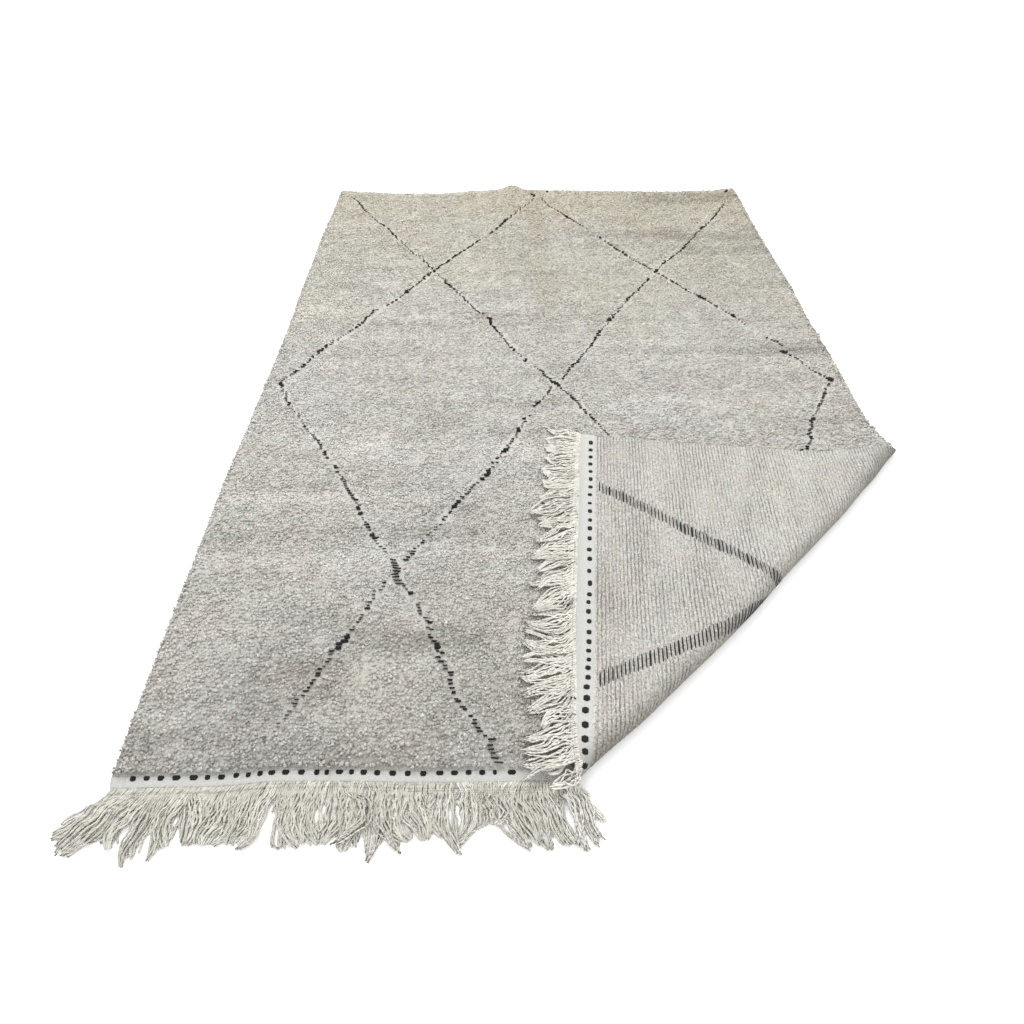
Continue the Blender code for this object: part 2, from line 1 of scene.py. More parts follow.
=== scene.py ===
"""The looks of a hand-knotted wool rug that lies on a floor with one corner turned back.

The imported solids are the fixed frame. Each operator below makes one piece of the rug, or a group of
like pieces, over them: the cloth, its knotted pile, the dark lattice, the strokes on the bared back,
the hem's dots and the fringe. Flat places on the cloth are (across, along), in metres: across runs
from the left selvedge to the right one, along runs from the front end of the pile to the far end.
place() folds such a place into the rug's lying shape.
"""
import math

import bpy
import numpy as np
from bpy.props import FloatProperty, FloatVectorProperty, IntProperty, PointerProperty
from mathutils import Matrix, Vector, noise
from mathutils.geometry import delaunay_2d_cdt


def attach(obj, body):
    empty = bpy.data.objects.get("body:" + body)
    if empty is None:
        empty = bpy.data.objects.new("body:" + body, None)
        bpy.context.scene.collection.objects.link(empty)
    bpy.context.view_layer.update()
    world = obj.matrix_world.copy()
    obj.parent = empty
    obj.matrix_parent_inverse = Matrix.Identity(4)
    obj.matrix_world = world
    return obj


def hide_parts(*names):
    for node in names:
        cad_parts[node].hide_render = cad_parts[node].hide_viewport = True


bl_info = {
    "name": "Knotted Rug",
    "version": (1, 0, 0),
    "blender": (4, 5, 0),
    "location": "3D View > Sidebar > Rug",
    "description": "Dresses the solids of a knotted wool rug with its pile, weave, lattice and fringe",
    "category": "Add Mesh",
}

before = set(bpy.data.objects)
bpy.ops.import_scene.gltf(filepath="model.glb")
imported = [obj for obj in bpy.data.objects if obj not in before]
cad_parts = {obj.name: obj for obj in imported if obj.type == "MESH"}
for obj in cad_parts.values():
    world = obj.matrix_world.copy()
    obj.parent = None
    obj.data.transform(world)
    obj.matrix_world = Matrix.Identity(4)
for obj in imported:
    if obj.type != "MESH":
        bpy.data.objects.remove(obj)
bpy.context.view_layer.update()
BODY = "root"


def metres(rows):
    """Rows of lengths that are written in millimetres."""
    return tuple(tuple(value / 1000.0 for value in row) for row in rows)


# the cloth, laid out flat
WIDTH = 2.0
LENGTH = 2.911
HEM = 0.033                 # flat-woven band in front of the pile
GROUND = 0.005              # thickness of the weave alone
THICKNESS = 0.020           # weave and pile together
RIM = 0.018                 # how far in from a selvedge the pile reaches its full height
RIM_HEIGHT = 0.009          # where the pile's outermost tips stand
PILE_FULL = 0.012           # where the pile's front reaches its full height
RIB_PITCH = 0.0094          # one row of knots on the back
RIB_HEIGHT = 0.0012
RIB_FIRST = 0.018           # first row behind the hem

# the turned-back corner
CREASE_START = 0.983
CREASE_ANGLE = math.radians(42.07)
CREASE_DIR = (math.cos(CREASE_ANGLE), math.sin(CREASE_ANGLE))
OUT_DIR = (math.sin(CREASE_ANGLE), -math.cos(CREASE_ANGLE))
FLAP_TOP = 0.0425
SETTLE = 0.13               # the flap comes down from the roll over this length
EASE = 0.25                 # the roll takes up its slack over this length
FLAP_WAVE = 0.0018          # its slow waves: their height,
RUN_WAVE = 7.0              # their turns along the roll, radians a metre,
BACK_WAVE = 9.0             # their turns away from it,
WAVE_START = 0.1            # and the length over which they grow
PRESS_START = 0.03          # the pile is pressed smooth from this far before the roll
PRESS_REACH = 0.16          # and this far out under the flap's fringe
PRESS_EASE = 0.06
# along the crease, how far the roll stands out of it, its radius
CREASE = (
    (0.00, 0.003, 0.0245),
    (0.20, 0.014, 0.0262),
    (0.50, 0.019, 0.0275),
    (0.80, 0.009, 0.0270),
    (1.00, 0.006, 0.0262),
    (1.20, -0.004, 0.0250),
    (1.37, -0.016, 0.0240),
)

# The rows of knots run on through the fold at their true length, and the hidden part under the
# flap gives way instead: along the crease, length of the part that gives way.
GIVE = ((0.00, 0.07), (0.25, 0.25), (1.40, 0.25))
ROLL_SHOWN = 0.6            # share of the roll's half turn beyond which the cloth keeps its length

# unevenness of a hand-made cloth
LUMP = 0.00256
LUMP_SIZE = 0.085
CORNER_ROUND = 0.022
STORE_FOLD = 0.87           # soft lengthwise ridge left by storing it folded, across
STORE_HALF = 0.085
STORE_LIFT = 0.018
STORE_REACH = 0.36          # the far end is lifted over this length
STRAY_REACH = 0.5           # an edge's straying fades inwards over this length
# along, how far the left and the right selvedge stray outwards
SELVEDGES = metres((
    (-40, -18, -3), (-4, -8, -3), (10, -4, -3), (120, -1, -4), (300, 1, -12), (450, 2, -12),
    (650, 3, -15), (760, 4, 6), (850, 4, 22), (920, 3, 22), (985, 2, 16), (1040, 0, -2),
    (1100, -2, -13), (1400, -6, -7), (1700, -8, -9), (2000, -2, -1), (2400, 0, -6), (2800, -6, 2),
    (3000, -8, 4),
))
# across, how far the front end strays forwards
FRONT_END = metres((
    (0, 0), (230, -1), (280, -5), (330, -9), (410, -9), (520, -7), (620, -3), (890, -2), (1110, 0),
))
# across, how much wider the band is pulled where it goes over the roll
HEM_SPREAD = metres((
    (900, 0), (950, 2), (1000, 6), (1040, 9), (1090, 9), (1140, 6), (1200, 2), (1260, 0),
))
# across, how far the far end strays backwards
FAR_END = metres((
    (0, 22), (120, 4), (340, -18), (500, -18), (700, 12), (800, 26), (870, 34), (950, 20),
    (1100, 15), (1330, 2), (1700, -6), (1880, 4), (1950, 26), (2000, 30),
))

# the sheet under the tufts
SHEET_SHARE = 0.70          # how much of the pile's height is solid wool between the tufts
PRESSED_SHARE = 0.90        # the same where the fold presses the pile and no tufts are set
SHEET_INSET = 0.006         # the sheet ends this far inside the outermost tips,
EDGE_BULGE = 0.0010         # and its edge bulges outwards by this
CLOSE = 1e-5                # places closer than this are the same
NEAR_STEP = 0.012           # cut of the outline by the fold and the flap
FAR_STEP = 0.025
FOLD_END = 1.30             # where the fold has left the right selvedge, along
KEEP_CLEAR = 0.25           # even points keep this share of a step clear of the forced ones
FLOOR_GRID = 0.024
FOLD_GRID = 0.008
BACK_GRID = 0.14
PILE_CLOSE = (-0.035, 0.235)    # lengths past the roll's start between which the pile side is
PILE_WIDE = (-0.04, 0.24)       # cut close, and beyond which it is cut wide
BACK_CLOSE = (-0.02, 0.20)      # the same for the back
BACK_WIDE = -0.06
ROLL_PAINTED_SHADE = (0.020, 0.085)     # painted shade on the back: darkest from the roll's start to here, and fading over this

# the knots
KNOT_ROW = RIB_PITCH
FIRST_ROW = 0.0100          # first row of knots behind the hem
KNOT_COLUMN = 0.0094        # two tufts to a knot
BAND_SPLITS = (0.0, 0.70, 1.42, 2.16, 3.0)
BAND_NAMES = ("pile_near", "pile_second", "pile_third", "pile_far")
FLAP_RIM = 0.035            # tufts are set this far in on the flap's hidden face
UNDER_FLAP = 0.06           # and this far in under the flap
FLAP_EASE = 0.02            # beyond that they give way to pressed wool, over these lengths
UNDER_EASE = 0.03
FOLD_START = 0.012          # the flap's side begins this far before the roll
BARE_ROLL = (-0.004, 0.085) # lengths past the roll's start between which no tuft is set
RIM_CLEAR = 0.0045          # tufts stand this far inside the selvedges and the far end
HEM_CLEAR = 0.008           # and this far behind the hem

# the lattice: its lines by the places where they cross, bend or end
LATTICE = (
    ((0.084, 2.870), (0.529, 2.095), (1.001, 1.314), (1.466, 0.531), (1.782, 0.0)),
    ((0.984, 2.880), (0.529, 2.095), (0.070, 1.312), (0.537, 0.520), (0.798, 0.010)),
    ((1.040, 2.890), (1.466, 2.091), (1.935, 1.322), (1.466, 0.531), (1.150, 0.0)),
    ((1.965, 2.890), (1.466, 2.091), (1.001, 1.314), (0.537, 0.520), (0.340, 0.090)),
)

# the lots of wool, each a streak of rows: along, from across, to across, half its height, how
# much lighter it is than the rest
LOTS = (
    (0.03, 0.0, 1.0, 0.06, -0.9), (0.17, 0.72, 0.95, 0.05, -0.8), (0.21, 0.24, 0.4, 0.08, -1.0),
    (0.31, 0.5, 0.74, 0.035, -1.2), (0.35, 0.3, 0.42, 0.045, -0.8), (0.22, 0.52, 0.64, 0.05, 0.4),
    (0.45, 0.0, 0.95, 0.07, -0.3), (0.55, 0.0, 0.5, 0.024, 1.0), (0.57, 0.6, 0.95, 0.018, 0.6),
    (0.64, 0.0, 0.8, 0.022, -1.1), (0.73, 0.64, 0.72, 0.025, -0.9), (0.78, 0.02, 0.58, 0.022, 1.2),
    (0.83, 0.0, 0.6, 0.016, -0.4), (0.97, 0.35, 0.95, 0.035, 1.0), (1.02, 0.28, 0.44, 0.045, 1.1),
    (0.96, 0.92, 1.3, 0.035, 1.0), (1.07, 0.4, 0.95, 0.018, -0.5), (1.1, 1.7, 2.0, 0.02, -0.9),
    (1.2, 0.6, 1.05, 0.025, -0.5), (1.2, 1.1, 1.85, 0.045, 0.6), (1.25, 0.2, 0.9, 0.025, 0.5),
    (1.4, 0.86, 1.08, 0.03, -0.7), (1.42, 0.26, 0.9, 0.025, 0.7), (1.42, 1.16, 1.85, 0.035, 0.6),
    (1.49, 0.0, 1.0, 0.012, -0.3), (1.49, 1.2, 2.0, 0.018, -0.9), (1.5, 1.8, 2.0, 0.045, -1.0),
    (1.55, 1.1, 1.6, 0.018, 0.6), (1.6, 0.16, 0.58, 0.022, 1.0), (1.66, 0.62, 1.0, 0.018, -0.7),
    (1.68, 0.0, 0.7, 0.016, -0.4), (1.7, 1.2, 1.9, 0.014, -0.6), (1.74, 0.66, 1.2, 0.018, -0.9),
    (1.78, 0.0, 0.34, 0.025, 0.8), (1.73, 0.36, 0.6, 0.018, 0.6), (1.95, 0.12, 0.26, 0.018, -0.5),
    (1.96, 1.78, 2.0, 0.025, -0.8), (2.07, 0.92, 1.08, 0.028, -0.9), (2.11, 0.1, 0.5, 0.014, -0.4),
    (2.16, 0.3, 0.42, 0.018, 0.5), (2.26, 1.66, 1.95, 0.035, -1.2), (2.31, 1.2, 1.6, 0.018, -0.6),
    (2.34, 0.0, 0.1, 0.018, -0.8), (2.39, 1.6, 2.0, 0.028, -1.4), (2.42, 1.2, 1.6, 0.035, -0.8),
    (2.43, 0.0, 0.45, 0.014, -0.4), (2.56, 0.3, 0.75, 0.018, -0.3), (2.8, 1.55, 2.0, 0.05, -1.4),
    (2.89, 0.45, 0.78, 0.018, 1.2),
)
LOT_STEP = 0.155            # tone that one unit of lightness in the table makes
LOT_EASE = 0.12             # a lot's ends fade over this length
# lightness in the same unit besides its lots: the wool's own in streaks of rows and in wide patches,
# painted shade on the crease from storing, the wool's own at the far right and at the far end, and
# painted shade at the front end
STREAKED, PATCHED, CREASE_SHADE, FAR_RIGHT, FAR_AWAY, NEAR_SHADE = 0.30, 0.20, -0.45, -0.20, -0.70, -0.60
# the crease from storing: across, half its width, where it begins along, how fast it deepens
STORED = (0.975, 0.045, 1.58, 0.30)
# how the wool warms towards the far end: from along, over this length, by this much
WARMING = ((1.2, 1.1, 0.28), (2.3, 0.5, 0.45))
WARM_SPOT = (0.42, 0.22, 0.24)  # a warm patch near the front: across, along, its radius
SEAM_HALF = 0.16            # half the width of a parting in the pile, as a share of its wave
DRIFT_WAVES = 7             # a drift is the sum of so many slow waves,
DRIFT_PEAK = 3.0            # and this is about its peak


# ---------------------------------------------------------------- flat cloth to lying shape

def smooth(x):
    """Ease from 0 to 1."""
    x = np.clip(x, 0.0, 1.0)
    return x * x * (3.0 - 2.0 * x)


def read_table(table, x, column):
    """Values of a column, eased between the rows on either side of each x."""
    rows = np.array(table)
    low = np.clip(np.searchsorted(rows[:, 0], x) - 1, 0, len(rows) - 2)
    share = smooth((x - rows[low, 0]) / (rows[low + 1, 0] - rows[low, 0]))
    return rows[low, column] + share * (rows[low + 1, column] - rows[low, column])


def read_line(table, x, column):
    """Values of a column on the straight line between the rows on either side of each x."""
    rows = np.array(table)
    return np.interp(x, rows[:, 0], rows[:, column])


def to_crease(across, along):
    """Distances of flat places along the crease and beyond it."""
    x = across - CREASE_START
    return x * CREASE_DIR[0] + along * CREASE_DIR[1], x * OUT_DIR[0] + along * OUT_DIR[1]


def from_crease(run, beyond):
    """The flat places at these distances along the crease and beyond it."""
    return (CREASE_START + run * CREASE_DIR[0] + beyond * OUT_DIR[0],
            run * CREASE_DIR[1] + beyond * OUT_DIR[1])


def roll_at(run):
    """Where the roll starts beyond the crease, and its radius."""
    radius = read_table(CREASE, run, 2)
    return read_table(CREASE, run, 1) - radius, radius


def arc_length(past, start, radius):
    """Length along the folded cloth for a flat distance past the roll's start."""
    return past + (2.0 * start + math.pi * radius) * smooth(past / EASE)


def round_corner(x, y):
    """Bring places of a square corner, measured inwards from its sides, onto a round one."""
    px = np.clip((CORNER_ROUND - x) / CORNER_ROUND, 0.0, None)
    py = np.clip((CORNER_ROUND - y) / CORNER_ROUND, 0.0, None)
    inside = (px > 0.0) & (py > 0.0)
    scale = np.maximum(px, py) / np.maximum(np.hypot(px, py), 1e-6)
    return (np.where(inside, CORNER_ROUND * (1.0 - px * scale), x),
            np.where(inside, CORNER_ROUND * (1.0 - py * scale), y))


def stray(across, along):
    """Where places of the true rectangle lie on the uneven hand-made cloth."""
    along = np.where(along < 0.0, along * (1.0 + read_line(HEM_SPREAD, across, 1) / HEM), along)
    left, back = round_corner(across, LENGTH - along)
    right, back = round_corner(WIDTH - left, back)
    across, along = WIDTH - right, LENGTH - back
    left_share = smooth(1.0 - across / STRAY_REACH)
    right_share = smooth(1.0 - (WIDTH - across) / STRAY_REACH)
    forwards = read_line(FRONT_END, across, 1)
    across = across - left_share * read_table(SELVEDGES, along, 1)
    across = across + right_share * read_table(SELVEDGES, along, 2)
    near = smooth(1.0 - along / STRAY_REACH)
    far = smooth(1.0 - (LENGTH - along) / STRAY_REACH)
    return across, along - near * forwards + far * read_table(FAR_END, across, 1)


def store_ridge(across, along):
    """Lift of the soft lengthwise ridge at the far end."""
    side = np.abs(across - STORE_FOLD) / STORE_HALF
    return STORE_LIFT * smooth(1.0 - side) * smooth(1.0 - (LENGTH - along) / STORE_REACH)


def flap_height(run, back):
    """Height of the back of the flap, past the roll by these lengths."""
    wave = 0.5 + 0.5 * np.sin(RUN_WAVE * run + BACK_WAVE * back)
    wave = FLAP_WAVE * wave * smooth(back / WAVE_START)
    roll_top = 2.0 * roll_at(run)[1]
    return FLAP_TOP + (roll_top - FLAP_TOP) * smooth(1.0 - back / SETTLE) + wave


def place(across, along, height):
    """Places of the cloth, at a height above the back of its weave, in the rug's lying shape."""
    across, along = stray(np.asarray(across, float), np.asarray(along, float))
    run, beyond = to_crease(across, along)
    start, radius = roll_at(run)
    past = beyond - start
    arc = arc_length(past, start, radius)
    turn = np.clip(arc / radius, 0.0, math.pi)
    back = np.maximum(arc - math.pi * radius, 0.0)
    on_flap = arc >= math.pi * radius
    reach = np.where(on_flap, start - back, start + (radius - height) * np.sin(turn))
    lift = np.where(on_flap, flap_height(run, back) - height,
                    radius - (radius - height) * np.cos(turn))
    x, y = from_crease(run, reach)
    on_floor = past <= 0.0
    x = np.where(on_floor, across, x)
    y = np.where(on_floor, along, y)
    lift = np.where(on_floor, store_ridge(across, along) + height, lift)
    return np.stack([x - WIDTH / 2.0, y - LENGTH / 2.0, lift], axis=-1)


def frame_at(across, along, height):
    """Places in the lying shape, and the cloth's across, along and upward directions there."""
    step = 0.001
    here = place(across, along, height)
    ways = [place(across + step, along, height) - place(across - step, along, height),
            place(across, along + step, height) - place(across, along - step, height),
            place(across, along, height + step) - here]
    return [here] + [way / np.linalg.norm(way, axis=-1, keepdims=True) for way in ways]


def folded_length(across, along):
    """Length past the roll's start, negative on the part that lies on the floor."""
    run, beyond = to_crease(across, along)
    start, radius = roll_at(run)
    past = beyond - start
    return np.where(past < 0.0, past, arc_length(past, start, radius))


def row_shift(run, path, start, radius):
    """How far the true cloth lags behind, at a length along the fold."""
    give = read_table(GIVE, run, 1)
    slack = 2.0 * start + math.pi * radius
    return slack * smooth((path + give) / (give + ROLL_SHOWN * math.pi * radius))


def true_flat(across, along):
    """The cloth's true flat places, by which its rows and marks run, for places of place()."""
    run, beyond = to_crease(across, along)
    start, radius = roll_at(run)
    past = beyond - start
    path = np.where(past < 0.0, past, arc_length(past, start, radius))
    return from_crease(run, start + path - row_shift(run, path, start, radius))


def laid_flat(across, along):
    """The places that place() wants for true flat places of the cloth."""
    run, beyond = to_crease(np.asarray(across, float), np.asarray(along, float))
    start, radius = roll_at(run)
    path = beyond - start
    for _ in range(24):
        path = beyond - start + row_shift(run, path, start, radius)
    past = np.maximum(path, 0.0)
    for _ in range(24):
        past = np.maximum(path, 0.0) - (arc_length(past, start, radius) - past)
    return from_crease(run, start + np.where(path < 0.0, path, past))


def place_true(across, along, height):
    """Lying places for true flat places of the cloth."""
    return place(*laid_flat(across, along), height)


def pressed(across, along):
    """1 where the pile is pressed smooth in the fold or under the flap and its fringe, else 0."""
    run, beyond = to_crease(across, along)
    flap_across, flap_along = from_crease(run, -beyond)
    outside = np.maximum(flap_across - WIDTH, -(flap_along + HEM + PRESS_REACH))
    free = smooth(outside / PRESS_EASE)
    return np.where(folded_length(across, along) > -PRESS_START, 1.0, 1.0 - free)


def covered(across, along):
    """1 where nothing shows of the pile: in the roll, inside the fold or well under the flap."""
    run, beyond = to_crease(across, along)
    flap_across, flap_along = from_crease(run, -beyond)
    under = np.minimum(WIDTH - flap_across, flap_along) - UNDER_FLAP
    on_flap = folded_length(across, along) > -FOLD_START
    inner = np.minimum(WIDTH - across, along) - FLAP_RIM
    return np.where(on_flap, smooth(inner / FLAP_EASE), smooth(under / UNDER_EASE))


def lumps(across, along):
    """The pile's soft lumps, from -1 to 1."""
    return np.array([noise.noise((x / LUMP_SIZE, y / LUMP_SIZE, 0.0))
                     for x, y in zip(across.ravel(), along.ravel())]).reshape(across.shape)


def pile_height(across, along):
    """Height of the pile's tips above the back of the weave."""
    edge = np.minimum(np.minimum(across, WIDTH - across), LENGTH - along)
    full = THICKNESS + LUMP * lumps(across, along) * (1.0 - pressed(across, along))
    rim = RIM_HEIGHT + (full - RIM_HEIGHT) * smooth(edge / RIM)
    return GROUND + (rim - GROUND) * smooth(along / PILE_FULL)


def drift(across, along, size, seed):
    """A slow change from place to place, about -1 to 1, for unevenness in rows, tone and lie."""
    rng = np.random.default_rng(seed)
    total = np.zeros(np.shape(across))
    for _ in range(DRIFT_WAVES):
        angle, phase = rng.uniform(0.0, 2.0 * math.pi, 2)
        reach = size * rng.uniform(0.6, 1.8)
        total = total + np.sin((across * math.cos(angle) + along * math.sin(angle))
                               * 2.0 * math.pi / reach + phase)
    return total / DRIFT_PEAK


def stored_crease(across, along):
    """1 on the lengthwise crease from storing, else 0: there the wool is warmer and has a painted
    shade.
    """
    middle, half, start, ease = STORED
    share = smooth(1.25 - np.abs(across - middle) / half)
    return share * smooth((along - start) / ease)


def wool_tone(across, along):
    """How light the wool is by its lot, about 0.5, with painted shade on the stored crease and at the
    front end.
    """
    wavy = along + 0.006 * drift(across, along, 0.40, 51)
    level = STREAKED * drift(across * 0.16, along, 0.060, 52)
    level = level + PATCHED * drift(across, along, 0.35, 53)
    # painted shade on the crease from storing
    level = level + CREASE_SHADE * stored_crease(across, along)
    level = level + FAR_RIGHT * smooth(across + along - 2.9)
    # FAR_AWAY is the wool's own; NEAR_SHADE is painted shade at the front end
    level = level + FAR_AWAY * smooth((along - 1.7) / 0.9) + NEAR_SHADE * smooth(1.0 - along / 0.5)
    for middle, first, last, half, lighter in LOTS:
        aside = np.maximum(np.maximum(first - across, across - last), 0.0) / LOT_EASE
        share = smooth(1.0 - aside) * smooth(1.6 - np.abs(wavy - middle) / half)
        level = level + lighter * share
    return 0.5 + LOT_STEP * level


def wool_warmth(across, along):
    """How warm the wool is, from 0 to 1: creamier towards the far end."""
    warm = np.full(np.shape(along), 0.12)
    for start, reach, warmer in WARMING:
        warm = warm + warmer * smooth((along - start) / reach)
    warm = warm + 0.30 * stored_crease(across, along) + 0.08 * smooth((across - 1.1) / 0.8)
    spot_across, spot_along, radius = WARM_SPOT
    near = smooth(1.0 - np.hypot(across - spot_across, (along - spot_along) * 1.4) / radius)
    warm = warm + 0.28 * near + 0.10 * drift(across, along, 0.45, 54)
    return np.clip(warm + 0.05 * drift(across * 0.2, along, 0.09, 55), 0.0, 1.0)


def seam(across, along):
    """1 in the thin wavy seams where the pile parts between two rows, else 0."""
    line = np.abs(drift(across * 0.20, along, 0.060, 61))
    here = smooth(0.6 + 1.2 * drift(across, along * 2.0, 0.20, 62))
    return smooth(1.0 - line / SEAM_HALF) * here


# ---------------------------------------------------------------- meshes

def linked(name, data):
    """A new object of this data, in the scene."""
    thing = bpy.data.objects.new(name, data)
    bpy.context.scene.collection.objects.link(thing)
    return thing


def new_object(name, points, faces, edges=()):
    """An object of these points, faces and loose edges, at the origin."""
    mesh = bpy.data.meshes.new(name)
    mesh.from_pydata(points, edges, faces)
    mesh.update()
    mesh.shade_smooth()
    return linked(name, mesh)


def keep_values(mesh, name, values, kind="FLOAT"):
    """Keep a value for each point of the mesh, for its material or its node tree to read."""
    layer = mesh.attributes.new(name, kind, "POINT")
    key = "value" if kind == "FLOAT" else "vector"
    layer.data.foreach_set(key, np.ascontiguousarray(values, np.float32).ravel())


def joined_tubes(name, tubes):
    """One object of many closed tubes: each is (rings, points in a ring, 3), anticlockwise
    about its own heading."""
    points, faces = [], []
    for rings in tubes:
        base = len(points)
        count, sides = rings.shape[:2]
        points += rings.reshape(-1, 3).tolist()
        for i in range(count - 1):
            for j in range(sides):
                a, b = base + i * sides + j, base + i * sides + (j + 1) % sides
                faces.append((a, b, b + sides, a + sides))
        faces.append([base + j for j in reversed(range(sides))])
        faces.append([base + (count - 1) * sides + j for j in range(sides)])
    return new_object(name, points, faces)


# ---------------------------------------------------------------- node trees

class Nodes:
    """Sets nodes into a tree from left to right, and joins them."""

    def __init__(self, tree):
        self.tree = tree
        self.count = 0

    def add(self, kind, inputs=None, **settings):
        """A new node. Inputs are values, or the sockets that feed them."""
        node = self.tree.nodes.new(kind)
        node.location = (190.0 * (self.count % 12), -260.0 * (self.count // 12))
        self.count += 1
        for name, value in settings.items():
            setattr(node, name, value)
        for key, value in (inputs or {}).items():
            if isinstance(value, bpy.types.NodeSocket):
                self.tree.links.new(value, node.inputs[key])
            else:
                node.inputs[key].default_value = value
        return node

    def sum(self, operation, first, second=0.0):
        """The output of a Math node."""
        return self.add("ShaderNodeMath", {0: first, 1: second}, operation=operation).outputs[0]

    def plus(self, first, second):
        """The sum of two values."""
        return self.sum("ADD", first, second)

    def minus(self, first, second):
        """The first value less the second."""
        return self.sum("SUBTRACT", first, second)

    def times(self, first, second):
        """The product of two values."""
        return self.sum("MULTIPLY", first, second)

    def places(self):
        """Places on the object itself."""
        return self.add("ShaderNodeTexCoord").outputs["Object"]

    def stretch(self, where, factors):
        """Places with their parts multiplied by these factors."""
        node = self.add("ShaderNodeVectorMath", {0: where, 1: factors}, operation="MULTIPLY")
        return node.outputs["Vector"]

    def blend(self, share, first, second, mode="MIX"):
        """A mix of two colours."""
        node = self.add("ShaderNodeMix", {0: share, 6: first, 7: second}, data_type="RGBA",
                        blend_type=mode)
        return node.outputs[2]

    def join(self, source, target):
        """Feed an output into an input."""
        self.tree.links.new(source, target)

    def span(self, value, low, high, to_low=0.0, to_high=1.0):
        """A value brought from one span to another, eased and held at the ends."""
        node = self.add("ShaderNodeMapRange", {0: value, 1: low, 2: high, 3: to_low, 4: to_high},
                        interpolation_type="SMOOTHSTEP")
        return node.outputs[0]

    def grain(self, where, scale, detail=2.0, roughness=0.5, distortion=0.0):
        """A noise pattern's value."""
        node = self.add("ShaderNodeTexNoise", {"Vector": where, "Scale": scale, "Detail": detail,
                                               "Roughness": roughness, "Distortion": distortion})
        return node.outputs[0]


def new_group(name, kind, inputs, outputs):
    """A node group with named inputs and outputs, and its two end nodes."""
    tree = bpy.data.node_groups.new(name, kind)
    for label, socket_kind, value in inputs:
        socket = tree.interface.new_socket(label, in_out="INPUT", socket_type=socket_kind)
        if value is not None:
            socket.default_value = value
    for label, socket_kind in outputs:
        tree.interface.new_socket(label, in_out="OUTPUT", socket_type=socket_kind)
    nodes = Nodes(tree)
    return nodes, nodes.add("NodeGroupInput"), tree.nodes.new("NodeGroupOutput")


def run_tree(thing, tree, values):
    """Run a geometry tree on an object and keep its result as the object's own plain mesh."""
    modifier = thing.modifiers.new(tree.name, "NODES")
    modifier.node_group = tree
    for socket in tree.interface.items_tree:
        if socket.item_type == "SOCKET" and socket.in_out == "INPUT" and socket.name in values:
            modifier[socket.identifier] = values[socket.name]
    depsgraph = bpy.context.evaluated_depsgraph_get()
    made = bpy.data.meshes.new_from_object(thing.evaluated_get(depsgraph), depsgraph=depsgraph)
    thing.modifiers.remove(modifier)
    old = thing.data
    made.name = thing.name
    thing.data = made
    bpy.data.meshes.remove(old)
    if not made.polygons:
        raise RuntimeError(f"{tree.name} made nothing for {thing.name}")
    return thing


# ---------------------------------------------------------------- materials

def heather_group():
    """Hand-spun wool: fleece of several tones carded together, from one place to the next."""
    found = bpy.data.node_groups.get("heather")
    if found:
        return found
    colour, number = "NodeSocketColor", "NodeSocketFloat"
    nodes, given, put = new_group(
        "heather", "ShaderNodeTree",
        (("Tone", number, 0.5), ("Warmth", number, 0.2), ("Light", colour, None),
         ("Middle", colour, None), ("Dark", colour, None), ("Warm", colour, None),
         ("Mauve", colour, None), ("Fleck", number, 0.5), ("Fleck Scale", number, 260.0)),
        (("Colour", colour), ("Height", number)))
    own = nodes.places()
    flecks = nodes.grain(own, given.outputs["Fleck Scale"], 2.0, 0.7)
    patches = nodes.grain(nodes.stretch(own, (1.0, 2.2, 1.0)), 6.0, 3.0, 0.55)
    level = nodes.plus(given.outputs["Tone"],
                       nodes.times(nodes.minus(flecks, 0.5), given.outputs["Fleck"]))
    low = nodes.span(level, 0.0, 0.5)
    high = nodes.span(level, 0.5, 1.0)
    mixed = nodes.blend(low, given.outputs["Dark"], given.outputs["Middle"])
    mixed = nodes.blend(high, mixed, given.outputs["Light"])
    mixed = nodes.blend(given.outputs["Warmth"], mixed,
                        nodes.blend(1.0, mixed, given.outputs["Warm"], "MULTIPLY"))
    mixed = nodes.blend(nodes.span(patches, 0.44, 0.60), mixed,
                        nodes.blend(1.0, mixed, given.outputs["Mauve"], "MULTIPLY"))
    nodes.join(mixed, put.inputs["Colour"])
    nodes.join(flecks, put.inputs["Height"])
    return nodes.tree


def new_material(name, roughness, sheen=0.0):
    """A material with its Principled shader, and its nodes."""
    material = bpy.data.materials.new(name)
    material.use_nodes = True
    shader = material.node_tree.nodes["Principled BSDF"]
    shader.inputs["Roughness"].default_value = roughness
    shader.inputs["Specular IOR Level"].default_value = 0.18
    shader.inputs["Sheen Weight"].default_value = sheen
    shader.inputs["Sheen Roughness"].default_value = 0.6
    return material, shader, Nodes(material.node_tree)


def read_value(nodes, name, output="Fac"):
    """The output of an attribute that the mesh keeps."""
    return nodes.add("ShaderNodeAttribute", None, attribute_name=name).outputs[output]


def bump(nodes, shader, height, depth, strength=1.0):
    """Raise the surface in a pattern."""
    node = nodes.add("ShaderNodeBump", {"Height": height, "Distance": depth, "Strength": strength})
    nodes.join(node.outputs["Normal"], shader.inputs["Normal"])


def colours():
    """The colour settings of this scene."""
    return bpy.context.scene.rug_colours


def sizes():
    """The size settings of this scene."""
    return bpy.context.scene.rug_sizes


def heathered(nodes, tones, fleck, scale, shade=1.0):
    """A heather group's node with these tones, light, middle and dark, and the mesh's own lots; shade
    darkens all three tones as painted shade.
    """
    own = colours()
    light, middle, dark = [(*[part * shade for part in tone], 1.0) for tone in tones]
    given = {"Tone": read_value(nodes, "tone"), "Warmth": read_value(nodes, "warmth"),
             "Light": light, "Middle": middle, "Dark": dark, "Warm": (*own.warm, 1.0),
             "Mauve": (*own.mauve, 1.0), "Fleck": fleck, "Fleck Scale": scale}
    return nodes.add("ShaderNodeGroup", given, node_tree=heather_group())


